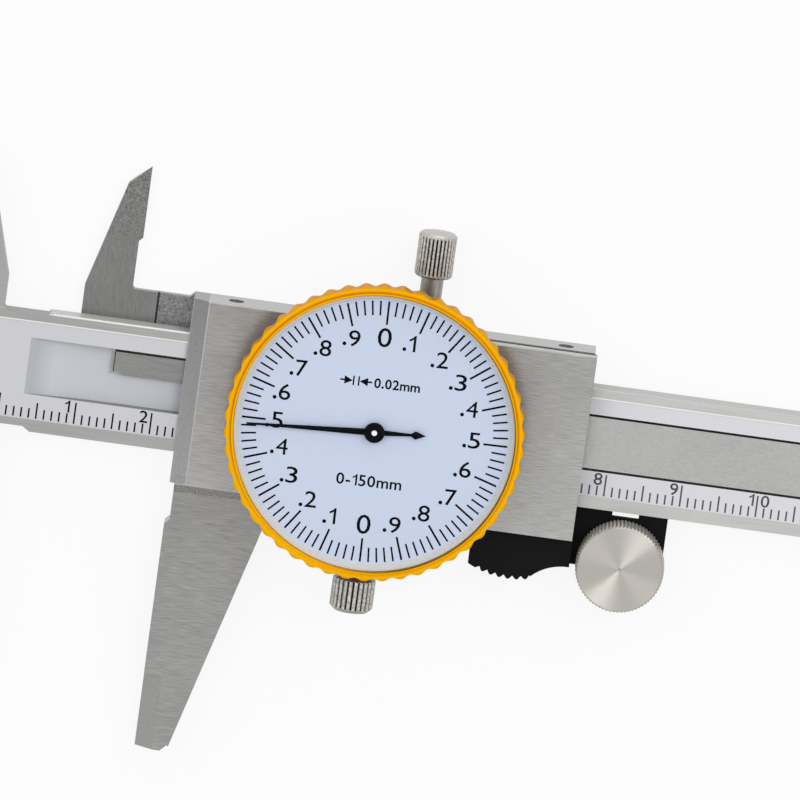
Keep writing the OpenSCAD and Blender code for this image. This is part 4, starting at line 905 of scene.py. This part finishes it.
class CALIPER_OT_beam_scale(bpy.types.Operator):
    """Prints the beam's graduations and figures"""
    bl_idname = "caliper.beam_scale"
    bl_label = "Beam scale"

    def execute(self, context):
        scale = context.scene.caliper_beam
        ink = finishes()["scale ink, etched"]
        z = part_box("beam")[1].z - scale.recess_depth + scale.plating
        band = scale.low_edge + scale.recess_low
        foot = band + scale.tick_foot
        half = scale.tick_width / 2
        last = round(scale.reach / MM)
        ticks = []
        for length, keep in ((scale.tick_ten, lambda i: i % 10 == 0),
                             (scale.tick_five, lambda i: i % 10 == 5),
                             (scale.tick_one, lambda i: i % 5 != 0)):
            mark = bar("tick", (-half, foot, z), (half, foot + length, z + INK_RISE), INK_SOFT)
            ticks += repeated(mark, [Matrix.Translation((i * MM, 0, 0))
                                     for i in range(last + 1) if keep(i)])
        fitted(joined("beam_ticks", ticks), ink, "beam")
        figures = []
        for tens in range(0, last // 10 + 1):
            words = str(tens)
            before = scale.one_gap if words == "1" else scale.figure_gap
            for part, side, gap in ((words[:1], "RIGHT", -before),
                                    (words[1:], "LEFT", scale.figure_gap)):
                place = Matrix.Translation((tens * 10 * MM + gap, band + scale.figure_foot, z))
                figures += lettering(part, scale.figure_height, side, place, stretch=1.1,
                                     weight=0.008)
        fitted(joined("beam_figures", figures), ink, "beam")
        return {"FINISHED"}


def legend_marks(up):
    """The graduation legend's two bars and the arrows that point at them, flat on the origin."""
    marks = []
    wide, tall = LEGEND_BAR_HALF
    for x in LEGEND_BARS:
        marks.append(bar("legend", (x - wide, up - tall, 0), (x + wide, up + tall, INK_RISE),
                         INK_SOFT))
    for tip, way in LEGEND_ARROWS:
        neck, tail = sorted((tip + SHAFT_START * way, tip + SHAFT_END * way))
        marks.append(bar("legend", (neck, up - SHAFT_HALF, 0), (tail, up + SHAFT_HALF, INK_RISE),
                         INK_SOFT))
        back = tip + way * ARROW_LENGTH
        marks.append(inked([(tip, up), (back, up - way * ARROW_HALF),
                            (back, up + way * ARROW_HALF)]))
    return marks


class CALIPER_OT_dial_print(bpy.types.Operator):
    """Prints the dial's graduations, figures and legend"""
    bl_idname = "caliper.dial_print"
    bl_label = "Dial print"

    def execute(self, context):
        dial = context.scene.caliper_dial
        ink = finishes()["dial ink, printed"]
        low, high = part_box("dial_plate")
        centre = Matrix.Translation(((low.x + high.x) / 2, (low.y + high.y) / 2, high.z))
        face = centre @ Matrix.Rotation(dial.turn, 4, "Z")
        step = 2 * math.pi / DIAL_TICKS
        ticks = []
        for inner, half, keep in ((dial.long, dial.long_width / 2, lambda i: i % 5 == 0),
                                  (dial.short, dial.tick_width / 2, lambda i: i % 5 != 0)):
            mark = bar("tick", (-half, inner, 0), (half, dial.outer, INK_RISE), INK_SOFT)
            ticks += repeated(mark, [face @ Matrix.Rotation(-i * step, 4, "Z")
                                     for i in range(DIAL_TICKS) if keep(i)])
        fitted(joined("dial_ticks", ticks), ink, "bezel")
        figures = []
        for i, (x, y) in enumerate(FIGURE_PLACES):
            words, height = "." + str(i % 10), dial.figure_height
            if i % 10 == 0:
                words, height = "0", dial.zero_height
            place = face @ Matrix.Translation((x * MM, y * MM - height / 2, 0))
            figures += lettering(words, height, "MIDDLE", place, wide=FIGURE_WIDTH,
                                 weight=0 if "4" in words else FIGURE_WEIGHT)
        fitted(joined("dial_figures", figures), ink, "bezel")
        up, tall = dial.legend_up, dial.legend_height
        marks = legend_marks(up)
        for mark in marks:
            mark.data.transform(face)
        place = face @ Matrix.Translation((LEGEND_WORDS_START, up - tall / 2, 0))
        marks += lettering("0.02mm", tall, "LEFT", place, weight=0.022, gap=0.09)
        place = face @ Matrix.Translation((0, -dial.range_down - tall / 2, 0))
        marks += lettering("0-150mm", tall * RANGE_ENLARGED, "MIDDLE", place, stretch=1.06,
                           weight=0.015, gap=0.13)
        fitted(joined("dial_legend", marks), ink, "bezel")
        return {"FINISHED"}


def plain_sight(tree):
    """1 where the camera sees the background straight, in metal or through the crystal."""
    path = add(tree, "ShaderNodeLightPath").outputs
    sight = path["Is Camera Ray"]
    for ray in ("Is Glossy Ray", "Is Transmission Ray"):
        sight = add(tree, "ShaderNodeMath", {0: sight, 1: path[ray]},
                    operation="MAXIMUM").outputs[0]
    return sight


def lay_floor(aim):
    """A pale card under the part that nearly vanishes in the white round it."""
    deselect()
    place = (aim.x, aim.y, CAD_BOX[0][2] - FLOOR_GAP)
    bpy.ops.mesh.primitive_plane_add(size=FLOOR_SIZE, location=place)
    floor = bpy.context.object
    floor.name = "floor"
    finish = bpy.data.materials.new("floor card, matt")
    finish.use_nodes = True
    tree = finish.node_tree
    shader = tree.nodes["Principled BSDF"]
    feed(tree, shader, {"Base Color": FLOOR_GREY, "Roughness": 0.9})
    light = add(tree, "ShaderNodeEmission", {"Color": WHITE, "Strength": 1.0})
    share = add(tree, "ShaderNodeMath", {0: plain_sight(tree), 1: FLOOR_GLOW},
                operation="MULTIPLY")
    mix = add(tree, "ShaderNodeMixShader", {0: share.outputs[0], 1: shader.outputs["BSDF"],
                                            2: light.outputs["Emission"]})
    feed(tree, tree.nodes["Material Output"], {"Surface": mix.outputs["Shader"]})
    floor.data.materials.append(finish)


def light_world(scene):
    """A soft pale light from all round, seen as plain white."""
    world = scene.world or bpy.data.worlds.new("studio")
    scene.world = world
    world.use_nodes = True
    tree = world.node_tree
    ground = tree.nodes["Background"]
    feed(tree, ground, {"Color": SKY, "Strength": SKY_LIGHT})
    white = add(tree, "ShaderNodeBackground", {"Color": WHITE, "Strength": 1.0})
    mix = add(tree, "ShaderNodeMixShader", {0: plain_sight(tree), 1: ground.outputs[0],
                                            2: white.outputs[0]})
    feed(tree, tree.nodes["World Output"], {"Surface": mix.outputs["Shader"]})


def hang_lamps(scene, aim):
    for name, where, width, height, power in LAMPS:
        lamp = bpy.data.lights.new(name, "AREA")
        lamp.shape = "RECTANGLE"
        lamp.size = width
        lamp.size_y = height
        lamp.energy = power
        holder = bpy.data.objects.new(name, lamp)
        scene.collection.objects.link(holder)
        holder.location = aim + Vector(where)
        holder.rotation_euler = (-Vector(where)).to_track_quat("-Z", "Y").to_euler()


def set_camera(scene, stage, aim):
    toward = Vector((0, math.sin(stage.tilt), math.cos(stage.tilt)))
    rise = Vector((0, math.cos(stage.tilt), -math.sin(stage.tilt)))
    along = Vector((1, 0, 0))
    right = along * math.cos(stage.roll) + rise * math.sin(stage.roll)
    up = rise * math.cos(stage.roll) - along * math.sin(stage.roll)
    lens = bpy.data.cameras.new("camera")
    lens.sensor_width = SENSOR_WIDTH
    lens.lens = SENSOR_WIDTH * stage.distance / stage.width
    lens.clip_end = CLIP_END
    camera = bpy.data.objects.new("camera", lens)
    scene.collection.objects.link(camera)
    turn = Matrix((right, up, toward)).transposed().to_4x4()
    camera.matrix_world = Matrix.Translation(aim + toward * stage.distance) @ turn
    scene.camera = camera


class CALIPER_OT_stage(bpy.types.Operator):
    """Sets the pale floor, the soft lights and the camera"""
    bl_idname = "caliper.stage"
    bl_label = "Stage"

    def execute(self, context):
        scene = context.scene
        stage = scene.caliper_stage
        aim = Vector(stage.aim)
        scene.view_settings.view_transform = "Standard"
        lay_floor(aim)
        light_world(scene)
        hang_lamps(scene, aim)
        set_camera(scene, stage, aim)
        return {"FINISHED"}


class CALIPER_PT_panel(bpy.types.Panel):
    bl_label = "Dial caliper"
    bl_idname = "CALIPER_PT_panel"
    bl_space_type = "VIEW_3D"
    bl_region_type = "UI"
    bl_category = "Caliper"

    def draw(self, context):
        for operator in OPERATORS:
            self.layout.operator(operator.bl_idname)
        for group in GROUPS:
            box = self.layout.box()
            settings = getattr(context.scene, group)
            for key in settings.bl_rna.properties.keys():
                if key not in ("rna_type", "name"):
                    box.prop(settings, key)


OPERATORS = (CALIPER_OT_finishes, CALIPER_OT_scale_plating, CALIPER_OT_beam_scale,
             CALIPER_OT_dial_print, CALIPER_OT_stage)
GROUPS = {"caliper_beam": BeamScaleSettings, "caliper_dial": DialPrintSettings,
          "caliper_finish": FinishSettings, "caliper_stage": StageSettings}


def register():
    for group in GROUPS.values():
        bpy.utils.register_class(group)
    for operator in OPERATORS:
        bpy.utils.register_class(operator)
    bpy.utils.register_class(CALIPER_PT_panel)
    for key, group in GROUPS.items():
        setattr(bpy.types.Scene, key, bpy.props.PointerProperty(type=group))


def unregister():
    for key in GROUPS:
        delattr(bpy.types.Scene, key)
    bpy.utils.unregister_class(CALIPER_PT_panel)
    for operator in reversed(OPERATORS):
        bpy.utils.unregister_class(operator)
    for group in reversed(list(GROUPS.values())):
        bpy.utils.unregister_class(group)


def main():
    register()
    bpy.ops.caliper.finishes()
    bpy.ops.caliper.scale_plating()
    bpy.ops.caliper.beam_scale()
    bpy.ops.caliper.dial_print()
    bpy.ops.caliper.stage()


if __name__ == "__main__":
    main()
